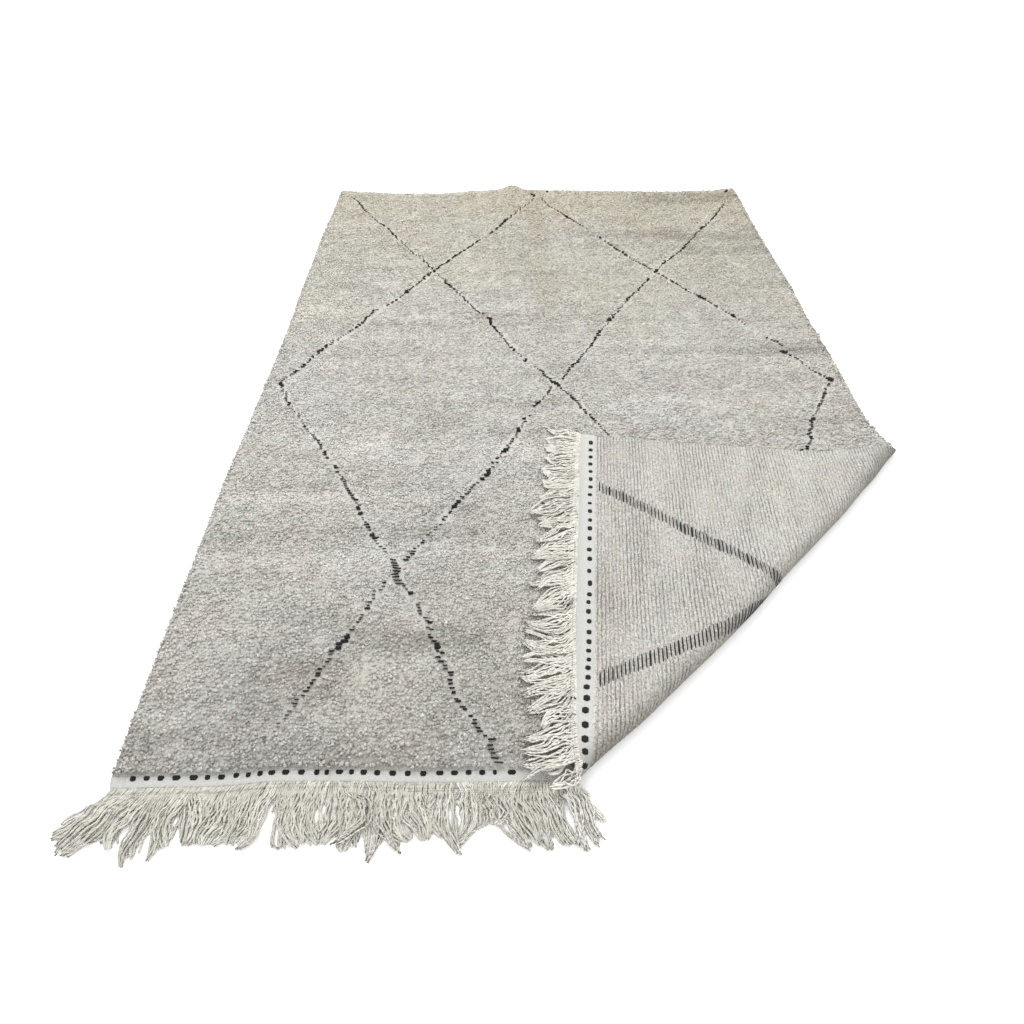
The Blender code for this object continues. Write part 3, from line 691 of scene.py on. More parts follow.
def wool_material(name, shade, fleck, depth):
    """Heathered wool of the pile, made darker by shade, a painted shade for the wool deep between the
    tufts.
    """
    material, shader, nodes = new_material(name, 0.92, 0.10)
    own = colours()
    group = heathered(nodes, (own.light, own.middle, own.dark), fleck, 260.0, shade)
    nodes.join(group.outputs["Colour"], shader.inputs["Base Color"])
    where = nodes.places()
    fibres = nodes.grain(where, 900.0, 2.0, 0.6, 0.6)
    bump(nodes, shader, nodes.plus(group.outputs["Height"], nodes.times(fibres, 0.4)), depth)
    return material


def dark_wool_material():
    """Black-brown wool of the lattice, the strokes and the hem's dots."""
    found = bpy.data.materials.get("dark_wool")
    if found:
        return found
    material, shader, nodes = new_material("dark_wool", 0.9, 0.03)
    where = nodes.places()
    flecks = nodes.grain(where, 420.0, 3.0, 0.6)
    base = colours().black
    paler = tuple(min(1.0, part * 2.0 + 0.006) for part in base)
    brown = colours().brown
    mixed = nodes.blend(nodes.span(flecks, 0.42, 0.75), (*base, 1.0), (*paler, 1.0))
    mixed = nodes.blend(nodes.span(read_value(nodes, "tone"), 0.1, 1.0), mixed, (*brown, 1.0))
    nodes.join(mixed, shader.inputs["Base Color"])
    bump(nodes, shader, flecks, 0.0012)
    return material


def plain_weave_group():
    """The hem's flat plain weave: its mottling and the height of its threads."""
    found = bpy.data.node_groups.get("plain_weave")
    if found:
        return found
    number = "NodeSocketFloat"
    nodes, given, put = new_group(
        "plain_weave", "ShaderNodeTree",
        (("Flat", "NodeSocketVector", None), ("Pitch", number, 0.0034)),
        (("Mottle", number), ("Height", number)))
    flat = given.outputs["Flat"]
    turns = nodes.sum("DIVIDE", 2.0 * math.pi, given.outputs["Pitch"])
    parts = nodes.add("ShaderNodeSeparateXYZ", {0: flat})
    over = nodes.sum("SINE", nodes.times(parts.outputs[0], turns))
    under = nodes.sum("SINE", nodes.times(parts.outputs[1], turns))
    woven = nodes.times(over, under)
    specks = nodes.grain(nodes.stretch(flat, (160.0, 420.0, 1.0)), 1.0, 3.0, 0.6)
    mottle = nodes.span(nodes.plus(nodes.times(woven, 0.08), specks), 0.28, 0.62)
    height = nodes.plus(woven, nodes.times(specks, 1.2))
    nodes.join(mottle, put.inputs["Mottle"])
    nodes.join(height, put.inputs["Height"])
    return nodes.tree


def back_material():
    """Woven back: light rows of knots with a thin broken groove of painted shade between each two, and
    the plain band of the hem, with painted shade where it turns under the roll."""
    material, shader, nodes = new_material("woven_back", 0.9, 0.08)
    own = colours()
    flat = read_value(nodes, "flat", "Vector")
    group = heathered(nodes, (own.back_light, own.back, own.back_dark), 2.2, 190.0)
    parts = nodes.add("ShaderNodeSeparateXYZ", {0: flat})
    across, along = parts.outputs[0], parts.outputs[1]
    # the grooves between rows, painted shade, with breaks, thin places and threads that stray
    wander = nodes.grain(nodes.stretch(flat, (30.0, 90.0, 1.0)), 1.0, 3.0, 0.6)
    rows = nodes.sum("DIVIDE", nodes.minus(along, RIB_FIRST), RIB_PITCH)
    rows = nodes.plus(rows, nodes.times(nodes.minus(wander, 0.5), 0.8))
    off_groove = nodes.sum("ABSOLUTE", nodes.minus(nodes.sum("FRACT", rows), 0.5))
    breaks = nodes.grain(nodes.stretch(flat, (60.0, 130.0, 1.0)), 1.0, 3.0, 0.7)
    patches = nodes.grain(nodes.stretch(flat, (6.0, 13.0, 1.0)), 1.0, 3.0, 0.6)
    groove = nodes.span(off_groove, nodes.span(breaks, 0.35, 0.65, 0.38, 0.16), 0.47)
    weak = nodes.times(nodes.span(breaks, 0.30, 0.58, 0.1, 1.0),
                       nodes.span(patches, 0.36, 0.62, 0.35, 1.0))
    groove = nodes.times(groove, weak)
    # the knots along each row with painted shade between them, and the dark specks of their fleece
    specks = nodes.grain(nodes.stretch(flat, (150.0, 290.0, 1.0)), 1.0, 1.0, 0.6)
    knots = nodes.times(nodes.sum("DIVIDE", across, KNOT_COLUMN), 2.0)
    knots = nodes.plus(knots, nodes.times(nodes.sum("FLOOR", rows), 0.37))
    knots = nodes.plus(knots, nodes.times(wander, 2.2))
    between = nodes.sum("ABSOLUTE", nodes.minus(nodes.sum("FRACT", knots), 0.5))
    between = nodes.times(nodes.span(between, 0.22, 0.5), nodes.span(breaks, 0.3, 0.7, 1.0, 0.2))
    deep = nodes.sum("MAXIMUM", nodes.times(between, 0.30),
                     nodes.span(specks, 0.52, 0.30, 0.0, 0.62))
    mixed = nodes.blend(deep, group.outputs["Colour"], (*own.groove, 1.0))
    # painted shade in the grooves
    mixed = nodes.blend(nodes.times(groove, 0.80), mixed, (*own.groove, 1.0))
    # the plain band
    weave = nodes.add("ShaderNodeGroup", {"Flat": flat}, node_tree=plain_weave_group())
    darker = tuple(part * 0.84 for part in own.band)
    band = nodes.blend(weave.outputs["Mottle"], (*darker, 1.0), (*own.band, 1.0))
    knotted = nodes.span(along, 0.006, 0.015)
    mixed = nodes.blend(knotted, band, mixed)
    # painted shade: the back is darkened where it turns away under the roll
    roll_painted_shade = nodes.blend(1.0, mixed, (0.46, 0.45, 0.435, 1.0), "MULTIPLY")
    mixed = nodes.blend(read_value(nodes, "shade"), mixed, roll_painted_shade)
    nodes.join(mixed, shader.inputs["Base Color"])
    height = nodes.minus(nodes.times(specks, 2.2), between)
    height = nodes.minus(height, nodes.times(groove, 1.5))
    height = nodes.times(height, knotted)
    plain = nodes.minus(0.6, nodes.times(knotted, 0.6))
    height = nodes.plus(height, nodes.times(weave.outputs["Height"], plain))
    bump(nodes, shader, height, 0.0012)
    return material


def band_material():
    """The hem's flat plain weave on the pile side."""
    material, shader, nodes = new_material("hem_band", 0.9, 0.05)
    own = colours()
    weave = nodes.add("ShaderNodeGroup", {"Flat": read_value(nodes, "flat", "Vector")},
                      node_tree=plain_weave_group())
    darker = tuple(part * 0.80 for part in own.band)
    mixed = nodes.blend(weave.outputs["Mottle"], (*darker, 1.0), (*own.band, 1.0))
    nodes.join(mixed, shader.inputs["Base Color"])
    bump(nodes, shader, weave.outputs["Height"], 0.0006)
    return material


def yarn_material():
    """Plied cream yarn of the fringe, its twist raised along each strand, with painted shade in the
    hollows between the plies.
    """
    found = bpy.data.materials.get("fringe_cream")
    if found:
        return found
    material, shader, nodes = new_material("fringe_cream", 0.88, 0.10)
    own = colours()
    tone = read_value(nodes, "tone")
    around = read_value(nodes, "around")
    length = read_value(nodes, "length")
    plies = nodes.plus(nodes.times(around, 2.0 * math.pi * PLIES),
                       nodes.times(length, 2.0 * math.pi / PLY_LENGTH))
    twist = nodes.sum("SINE", nodes.plus(plies, nodes.times(tone, STRAND_PHASE)))
    where = nodes.places()
    flecks = nodes.grain(where, 700.0, 3.0, 0.6)
    patch = nodes.grain(where, 16.0, 2.0, 0.5)
    paler = nodes.span(nodes.plus(tone, nodes.minus(patch, 0.5)), 0.15, 0.85)
    mixed = nodes.blend(paler, (*own.fringe_deep, 1.0), (*own.fringe, 1.0))
    # painted shade in the hollows between the plies
    ply_shade = nodes.span(twist, -1.0, 0.0, 0.08, 0.0)
    mixed = nodes.blend(ply_shade, mixed, nodes.blend(1.0, mixed, (0.62, 0.59, 0.53, 1.0), "MULTIPLY"))
    nodes.join(mixed, shader.inputs["Base Color"])
    bump(nodes, shader, nodes.plus(twist, nodes.times(flecks, 0.8)), 0.0002)
    return material


def floor_material():
    """A plain pale floor."""
    material, shader, nodes = new_material("pale_floor", 0.95)
    where = nodes.places()
    grain = nodes.grain(where, 3.0, 2.0, 0.5)
    mixed = nodes.blend(grain, (0.93, 0.93, 0.93, 1.0), (0.95, 0.95, 0.95, 1.0))
    nodes.join(mixed, shader.inputs["Base Color"])
    return material


# ---------------------------------------------------------------- the cloth

def edge_places(low, high, step, forced=()):
    """Places along one side, ends left out: the forced ones, and even ones clear of them."""
    count = max(1, round((high - low) / step))
    even = [low + (high - low) * k / count for k in range(1, count)]
    kept = [value for value in even
            if all(abs(value - other) > step * KEEP_CLEAR for other in forced)]
    return sorted(kept + list(forced))


def cloth_outline():
    """The cloth's outline, anticlockwise from the near left corner."""
    near = edge_places(0.0, WIDTH, NEAR_STEP)
    right = edge_places(-HEM, FOLD_END, NEAR_STEP, (-0.5 * HEM, 0.0, PILE_FULL)) + [FOLD_END]
    right += edge_places(FOLD_END, LENGTH, FAR_STEP)
    far = edge_places(0.0, WIDTH, FAR_STEP)
    left = edge_places(-HEM, LENGTH, FAR_STEP, (-0.5 * HEM, 0.0, PILE_FULL))
    points = [(0.0, -HEM)] + [(x, -HEM) for x in near] + [(WIDTH, -HEM)]
    points += [(WIDTH, y) for y in right] + [(WIDTH, LENGTH)]
    points += [(x, LENGTH) for x in reversed(far)] + [(0.0, LENGTH)]
    return points + [(0.0, y) for y in reversed(left)]


def triangulate(loop, lines, loose):
    """Triangles inside the loop that keep the lines, and where each loop point went."""
    flat = [Vector(point) for point in loop]
    edges = []
    for line in lines:
        base = len(flat)
        flat += [Vector(point) for point in line]
        edges += [(base + k, base + k + 1) for k in range(len(line) - 1)]
    flat += [Vector(point) for point in loose]
    verts, _, faces, sources, _, _ = delaunay_2d_cdt(flat, edges, [list(range(len(loop)))], 1, 1e-6)
    went = {}
    for index, source in enumerate(sources):
        for original in source:
            went[original] = index
    return np.array(verts), faces, [went[k] for k in range(len(loop))]


def grid(step_across, step_along, first_along=0.012):
    """Even flat places over the cloth, clear of its edges, as two arrays."""
    across = np.arange(step_across, WIDTH - 0.4 * step_across, step_across)
    along = np.arange(first_along + step_along, LENGTH - 0.4 * step_along, step_along)
    x, y = np.meshgrid(across, along)
    return x.ravel(), y.ravel()


def pile_side_places():
    """Loose places for the pile side: close in the fold, wider elsewhere."""
    x, y = grid(FLOOR_GRID, FLOOR_GRID)
    length = folded_length(x, y)
    wide = (length < PILE_WIDE[0]) | (length > PILE_WIDE[1])
    fine_x, fine_y = grid(FOLD_GRID, FOLD_GRID)
    fine_length = folded_length(fine_x, fine_y)
    fine = (fine_length > PILE_CLOSE[0]) & (fine_length < PILE_CLOSE[1])
    return np.concatenate([x[wide], fine_x[fine]]), np.concatenate([y[wide], fine_y[fine]])


def back_side_places():
    """Loose true places for the back: four to each row of knots where it shows, wide beneath."""
    x, y = grid(FOLD_GRID, RIB_PITCH / 4.0, RIB_FIRST - 3.0 * RIB_PITCH)
    length = folded_length(*laid_flat(x, y))
    column = np.rint(x / FOLD_GRID).astype(int)
    close = (length > BACK_CLOSE[0]) & (length < BACK_CLOSE[1])
    flap = (length >= BACK_CLOSE[1]) & (column % 3 == 0)
    kept = (close | flap) & (WIDTH - x > SHEET_INSET)
    under_x, under_y = grid(BACK_GRID, BACK_GRID)
    floor = folded_length(*laid_flat(under_x, under_y)) < BACK_WIDE
    ridge = np.array([(STORE_FOLD + side * STORE_HALF, LENGTH - STORE_REACH * share)
                      for share in np.linspace(0.06, 1.0, 12) for side in np.linspace(-1.0, 1.0, 9)])
    return (np.concatenate([x[kept], under_x[floor], ridge[:, 0]]),
            np.concatenate([y[kept], under_y[floor], ridge[:, 1]]))


def rib_height(along):
    """Height of the rows of knots above the hollows between them."""
    return RIB_HEIGHT * (0.5 - 0.5 * np.cos(2.0 * math.pi * (along - RIB_FIRST) / RIB_PITCH))


def inset_edges(across, along, amount):
    """Pull outermost places of the pile field in from its selvedges and far end."""
    in_field = along > PILE_FULL - CLOSE
    across = np.where(in_field & (across < CLOSE), across + amount, across)
    across = np.where(in_field & (across > WIDTH - CLOSE), across - amount, across)
    return across, np.where(along > LENGTH - CLOSE, along - amount, along)


def sheet_height(across, along):
    """Height of the solid wool between the tufts."""
    share = SHEET_SHARE + (PRESSED_SHARE - SHEET_SHARE) * covered(across, along)
    return GROUND + (pile_height(across, along) - GROUND) * share


def build_cloth():
    """The cloth as one closed thin sheet: woven back, hem band and the body of the pile."""
    loop = cloth_outline()
    steps = [[(x, y) for x in np.linspace(0.0, WIDTH, round(WIDTH / NEAR_STEP) + 1)]
             for y in (-0.5 * HEM, 0.0, PILE_FULL)]
    pile_x, pile_y = pile_side_places()
    pile, pile_faces, pile_loop = triangulate(loop, steps, list(zip(pile_x, pile_y)))
    rim = np.array(loop)
    true_rim = np.stack(true_flat(rim[:, 0], rim[:, 1]), axis=1)
    back_x, back_y = back_side_places()
    true_back, back_faces, back_loop = triangulate(true_rim.tolist(), [], list(zip(back_x, back_y)))
    back = np.stack(laid_flat(true_back[:, 0], true_back[:, 1]), axis=1)
    back[back_loop] = rim

    pile_across, pile_along = inset_edges(pile[:, 0], pile[:, 1], SHEET_INSET)
    top = place(pile_across, pile_along, sheet_height(pile_across, pile[:, 1]))
    back_across, back_along = inset_edges(back[:, 0], back[:, 1], SHEET_INSET)
    bared = (folded_length(back[:, 0], back[:, 1]) > 0.0) & (back[:, 0] < WIDTH - 0.004)
    bared &= true_back[:, 1] > RIB_FIRST - CLOSE
    raised = np.where(bared, rib_height(true_back[:, 1]), 0.0)
    bottom = place(back_across, back_along, -raised)
    side_across, side_along = inset_edges(rim[:, 0], rim[:, 1], SHEET_INSET)
    side_height = 0.5 * sheet_height(side_across, rim[:, 1])
    outward = rim - np.clip(rim, (0.01, -HEM + 0.01), (WIDTH - 0.01, LENGTH - 0.01))
    outward = EDGE_BULGE * outward / np.maximum(np.linalg.norm(outward, axis=1)[:, None], 1e-6)
    middle = place(side_across + outward[:, 0], side_along + outward[:, 1], side_height)

    points = np.concatenate([top, bottom, middle])
    first_back, first_middle = len(top), len(top) + len(bottom)
    faces = [tuple(face) for face in pile_faces]
    faces += [tuple(first_back + k for k in reversed(face)) for face in back_faces]
    slots = [1 if pile[list(face), 1].mean() < 0.0 else 0 for face in pile_faces]
    slots += [2] * len(back_faces)
    count = len(loop)
    for k in range(count):
        after = (k + 1) % count
        low, low_after = first_back + back_loop[k], first_back + back_loop[after]
        mid, mid_after = first_middle + k, first_middle + after
        faces.append((low, low_after, mid_after, mid))
        faces.append((mid, mid_after, pile_loop[after], pile_loop[k]))
        slots += [1 if rim[[k, after], 1].mean() < 0.0 else 0] * 2
    cloth = new_object("cloth", points.tolist(), faces)
    # the pile side's bed is 0.86 darker: painted shade between the tufts
    for material in (wool_material("wool_bed", 0.86, 1.0, 0.004), band_material(), back_material()):
        cloth.data.materials.append(material)
    cloth.data.polygons.foreach_set("material_index", slots)
    flat = np.concatenate([pile, true_back, true_rim])
    keep_values(cloth.data, "flat", np.pad(flat, ((0, 0), (0, 1))), "FLOAT_VECTOR")
    keep_values(cloth.data, "tone", wool_tone(flat[:, 0], flat[:, 1]))
    keep_values(cloth.data, "warmth", wool_warmth(flat[:, 0], flat[:, 1]))
    laid = np.concatenate([pile, back, rim])
    roll_length = folded_length(laid[:, 0], laid[:, 1])
    # painted shade on the back where it turns under the roll
    keep_values(cloth.data, "shade", 1.0 - smooth((roll_length - ROLL_PAINTED_SHADE[0]) / ROLL_PAINTED_SHADE[1]))
    cloth.data.update()
    return cloth


# ---------------------------------------------------------------- the dark lattice

# kinds of dark knotting: length of the bar in each row of knots, its depth, how dark it is
GAP, FAINT, THIN, DARK, BOLD, BLOT = "gap", "faint", "thin", "dark", "bold", "blot"
BARS = {
    FAINT: (0.0070, 0.0026, 0.15),
    THIN: (0.0094, 0.0028, 0.45),
    DARK: (0.0115, 0.0032, 0.75),
    BOLD: (0.0140, 0.0046, 1.00),
    BLOT: (0.0165, 0.0090, 1.00),
}
# each line of the lattice from end to end: across and along in millimetres, and the knotting from
# there on
CHART = (
    # far left corner, through the upper left crossing and the middle, to under the flap
    ((83, 2823, THIN), (115, 2765, DARK), (170, 2668, FAINT), (255, 2540, DARK), (275, 2510, GAP),
     (288, 2495, BOLD), (300, 2476, FAINT), (317, 2445, DARK), (350, 2390, FAINT),
     (415, 2280, THIN), (440, 2235, FAINT), (476, 2190, THIN), (530, 2095, BOLD),
     (545, 2072, FAINT), (580, 2006, BOLD), (612, 1955, DARK), (630, 1930, THIN), (720, 1768, DARK),
     (738, 1748, GAP), (758, 1728, BLOT), (768, 1700, BOLD), (788, 1645, DARK), (796, 1622, THIN),
     (846, 1528, BOLD), (864, 1500, FAINT), (880, 1475, THIN), (886, 1462, GAP), (893, 1452, BOLD),
     (900, 1432, GAP), (910, 1418, THIN), (920, 1405, FAINT), (938, 1389, DARK), (982, 1322, BLOT),
     (1006, 1296, GAP), (1014, 1280, THIN), (1042, 1237, BOLD), (1055, 1212, THIN),
     (1068, 1184, BOLD), (1078, 1162, DARK), (1092, 1137, BOLD), (1102, 1115, THIN),
     (1125, 1070, DARK), (1145, 1035, GAP)),
    # far middle, through the upper left crossing, to the left side and on to the hem
    ((970, 2840, BOLD), (984, 2815, GAP), (978, 2795, FAINT), (875, 2612, DARK), (842, 2572, BLOT),
     (822, 2540, BOLD), (806, 2505, DARK), (788, 2470, FAINT), (772, 2450, BOLD), (757, 2425, GAP),
     (718, 2370, DARK), (656, 2278, BOLD), (640, 2258, DARK), (624, 2232, BOLD), (608, 2208, THIN),
     (592, 2184, BOLD), (578, 2162, DARK), (537, 2102, THIN), (514, 2060, BOLD), (496, 2030, DARK),
     (444, 1936, BLOT), (428, 1912, THIN), (408, 1872, DARK), (362, 1812, GAP), (330, 1788, DARK),
     (308, 1748, BOLD), (294, 1716, DARK), (284, 1698, BOLD), (268, 1668, DARK), (246, 1632, FAINT),
     (202, 1570, DARK), (182, 1547, BOLD), (160, 1510, DARK), (118, 1428, BOLD), (107, 1408, GAP),
     (98, 1394, BOLD), (88, 1376, THIN), (60, 1335, FAINT), (62, 1322, BLOT), (68, 1300, THIN),
     (79, 1277, FAINT), (95, 1250, THIN), (102, 1228, FAINT), (112, 1214, BOLD), (118, 1198, FAINT),
     (162, 1147, THIN), (172, 1130, FAINT), (194, 1092, DARK), (202, 1078, FAINT),
     (215, 1062, DARK), (262, 998, THIN), (280, 970, DARK), (300, 932, GAP), (312, 916, DARK),
     (318, 900, GAP), (330, 892, BOLD), (337, 878, FAINT), (350, 856, DARK), (370, 815, BOLD),
     (398, 764, THIN), (413, 745, BOLD), (416, 733, GAP), (421, 724, BLOT), (425, 708, FAINT),
     (435, 694, DARK), (443, 684, BOLD), (452, 662, THIN), (464, 648, BLOT), (469, 622, THIN),
     (480, 610, DARK), (510, 575, GAP), (558, 478, BOLD), (568, 466, THIN), (580, 454, BOLD),
     (588, 442, GAP), (597, 423, DARK), (620, 376, DARK), (629, 364, BLOT), (632, 350, DARK),
     (640, 322, BOLD), (650, 310, BLOT), (656, 288, BOLD), (675, 250, DARK), (685, 230, BOLD),
     (694, 200, BOLD), (700, 180, BOLD), (712, 158, BOLD), (731, 134, BOLD), (766, 84, DARK),
     (776, 70, GAP)),
    # far right corner, through the upper right crossing, the middle and the lower crossing
    ((1944, 2870, BLOT), (1940, 2852, GAP), (1905, 2740, THIN), (1845, 2640, BOLD),
     (1830, 2615, DARK), (1800, 2565, THIN), (1757, 2498, BOLD), (1740, 2472, THIN),
     (1652, 2342, DARK), (1614, 2286, BOLD), (1590, 2248, THIN), (1558, 2210, BOLD),
     (1540, 2188, DARK), (1514, 2158, BOLD), (1498, 2136, FAINT), (1472, 2092, BLOT),
     (1455, 2060, GAP), (1428, 2020, BOLD), (1408, 1992, DARK), (1326, 1870, BOLD),
     (1308, 1842, FAINT), (1278, 1790, THIN), (1238, 1724, BLOT), (1222, 1698, FAINT),
     (1180, 1628, BOLD), (1168, 1592, DARK), (1146, 1546, BOLD), (1132, 1524, THIN),
     (1086, 1454, BOLD), (1062, 1402, DARK), (1020, 1328, GAP), (980, 1290, DARK),
     (962, 1252, FAINT), (948, 1226, DARK), (932, 1206, BOLD), (912, 1182, GAP), (900, 1145, DARK),
     (896, 1130, GAP), (891, 1122, BOLD), (882, 1104, FAINT), (870, 1076, BLOT), (862, 1054, FAINT),
     (855, 1034, DARK), (845, 1015, THIN), (824, 980, BLOT), (814, 962, FAINT), (804, 938, BOLD),
     (795, 920, DARK), (778, 892, BLOT), (760, 862, BOLD), (748, 846, DARK), (712, 798, BOLD),
     (700, 780, THIN), (688, 762, BLOT), (672, 738, DARK), (642, 680, THIN), (612, 644, DARK),
     (606, 634, GAP), (600, 628, BOLD), (592, 610, THIN), (578, 596, BOLD), (558, 546, GAP),
     (520, 484, DARK), (500, 455, THIN), (484, 425, DARK), (472, 395, THIN), (445, 340, DARK),
     (438, 322, BLOT), (424, 290, BOLD), (414, 274, DARK), (398, 244, BOLD), (388, 218, DARK),
     (378, 200, BOLD), (366, 172, DARK), (350, 144, THIN), (322, 96, FAINT), (304, 64, GAP)),
    # far middle to the upper right crossing, the right side and back to under the flap
    ((1042, 2886, BLOT), (1058, 2870, GAP), (1012, 2803, FAINT), (1050, 2715, THIN),
     (1120, 2610, BOLD), (1136, 2584, DARK), (1192, 2500, FAINT), (1215, 2465, GAP),
     (1256, 2396, DARK), (1266, 2378, FAINT), (1295, 2325, DARK), (1340, 2245, BOLD),
     (1360, 2210, FAINT), (1373, 2180, THIN), (1405, 2140, DARK), (1450, 2088, GAP),
     (1475, 2052, DARK), (1508, 2002, BOLD), (1526, 1976, DARK), (1570, 1903, FAINT),
     (1592, 1878, GAP), (1600, 1874, BLOT), (1618, 1846, THIN), (1632, 1822, FAINT),
     (1648, 1803, BOLD), (1660, 1788, FAINT), (1685, 1750, THIN), (1700, 1734, BLOT),
     (1712, 1712, FAINT), (1740, 1662, GAP), (1796, 1572, DARK), (1836, 1520, GAP),
     (1824, 1492, BLOT), (1834, 1476, FAINT), (1850, 1460, DARK), (1872, 1438, FAINT),
     (1893, 1380, DARK), (1902, 1368, BOLD), (1912, 1352, DARK), (1936, 1332, BLOT),
     (1946, 1308, THIN), (1926, 1294, DARK), (1918, 1280, THIN), (1896, 1244, BOLD),
     (1880, 1214, THIN), (1862, 1188, BOLD), (1850, 1170, FAINT), (1828, 1132, THIN),
     (1816, 1114, BLOT), (1804, 1092, DARK), (1775, 1035, BOLD), (1760, 1010, THIN),
     (1738, 984, BOLD), (1716, 950, GAP)),
)
# ladders of bars, where the lines cross and where they reach the hem: from across and along,
# to across and along, number of bars, length of the first bar and of the last
LADDERS = (
    (0.527, 0.556, 0.548, 0.480, 9, 0.020, 0.026),
    (0.780, 0.066, 0.786, 0.038, 4, 0.020, 0.014),
    (0.790, 0.029, 0.796, 0.019, 2, 0.020, 0.026),
)
LADDER_DEPTH = 0.0036
BAR_WANDER = 0.0008         # how far bars stray from their line
BAR_LONGER = 0.16           # how unequally long they are,
BAR_DEEPER = (0.85, 1.2)    # and how unequally deep
BAR_LOOSE = 2.0             # spread of the bars' lean, in degrees
BAR_TURN = 0.10             # how much the bars are turned against the rows
BAR_PROUD = 0.0016          # the bars stand this much higher than the pile
BAR_CLEAR = 0.0042          # and pale tufts keep this far from them
MARK_NEAR = (0.04, 0.03)    # tufts within this of a bar's middle are measured against it


def dark_places(rng):
    """Every bar of the dark lattice, as (across, along, width, depth, darkness) rows: one in each
    row of knots that a line crosses."""
    rows = []
    for line in CHART:
        for (across, along, kind), (end_across, end_along, _) in zip(line, line[1:]):
            if kind == GAP:
                continue
            (across, along, end_across, end_along), = metres(
                ((across, along, end_across, end_along),))
            length, depth, dark = BARS[kind]
            first = math.ceil((end_along - FIRST_ROW) / KNOT_ROW)
            last = math.floor((along - FIRST_ROW) / KNOT_ROW)
            for row in range(first, last + 1):
                level = FIRST_ROW + KNOT_ROW * row
                part = (along - level) / (along - end_along)
                middle = across + (end_across - across) * part + rng.normal(0.0, BAR_WANDER)
                rows.append((middle, level, length * max(0.7, rng.normal(1.0, BAR_LONGER)),
                             depth * rng.uniform(*BAR_DEEPER), dark))
    for across, along, end_across, end_along, count, first, last in LADDERS:
        for k in range(count):
            part = k / (count - 1)
            level = along + (end_along - along) * part
            level = FIRST_ROW + KNOT_ROW * round((level - FIRST_ROW) / KNOT_ROW)
            middle = across + (end_across - across) * part + rng.normal(0.0, BAR_WANDER)
            rows.append((middle, level, first + (last - first) * part, LADDER_DEPTH, 1.0))
    return np.array(rows)


# ---------------------------------------------------------------- the pile

# unit tufts and bars: height of the full part, turn, bend of the tip
TUFT_SHAPES = ((0.70, 0.3, 0.06), (0.78, 1.4, -0.10), (0.64, 2.4, 0.14))
BAR_SHAPES = ((0.88, 0.75, 0.04), (0.84, 0.85, -0.05), (0.90, 0.70, 0.0))
TUFT_WIDTHS = (0.0104, 0.0146)  # from one to the other
TUFT_DEPTHS = (0.66, 0.94)      # as shares of the width
TUFT_HEIGHTS = (0.006, 0.028)   # never less nor more
TUFT_ANGLES = (0.1, 1.15)       # the same for their lean, in radians
TUFT_FOOT = (0.6, 0.22)         # they start at these shares of the weave and of the pile
RIM_WIDTH = 0.80                # tufts at the selvedges are narrower by this,
RIM_REACH = 0.014               # this far in,
RIM_ANGLE = math.radians(20.0)  # and lean out by this
RIM_TURN = 0.020                # where their lean begins to turn outwards
HEADING_SPREAD = math.radians(28.0)
HEADING_DRIFT = 0.6
FRONT_EASE = 0.022              # the foremost tufts stand upright over this length
COLUMN_SHAKE = 0.0014           # how far tufts stray along their row,
ROW_WAVE = 0.0026               # how far a row wanders,
ROW_SHAKE = 0.0011              # and how far tufts stray from it
GROOVE = 0.0022                 # how much shorter the pile is along the lattice,
LINE_HALF = 0.011               # this far from its lines,
MARK_HALF = 0.009               # and again this far from its bars
UNEVEN = 0.0007                 # how unevenly it is shorn
STREAK_DEPTH = 0.0011           # it is shorter in streaks of a few rows,
STREAK_TONE = 0.13              # which are darker by this
SEAM_DEPTH = 0.0028             # it parts by this in the seams,
SEAM_SHADE = 0.30                # which get this much painted shade
TUFT_TONE = 0.14                # how much single tufts differ in tone


def tuft_meshes(name, sides, reach, tufts):
    """Unit tufts of wool in a hidden collection, thin at the root and full below the tip: each has
    the height of its full part, its turn and the bend of its tip."""
    shapes = bpy.data.collections.new(name)
    for k, (full, turn, bend) in enumerate(tufts):
        ways = [turn + 2.0 * math.pi * j / sides for j in range(sides)]
        ring = [(reach * math.cos(way), reach * math.sin(way), full + 0.07 * math.cos(2.0 * way))
                for way in ways]
        tip = sides + 1
        points = [(0.0, 0.0, 0.0)] + ring + [(0.06 * (k - 1), -bend, 1.0)]
        faces = [(0, j % sides + 1, j) for j in range(1, tip)]
        faces += [(tip, j, j % sides + 1) for j in range(1, tip)]
        tuft = new_object(f"{name}_{k}", points, faces)
        bpy.context.scene.collection.objects.unlink(tuft)
        shapes.objects.link(tuft)
    return shapes


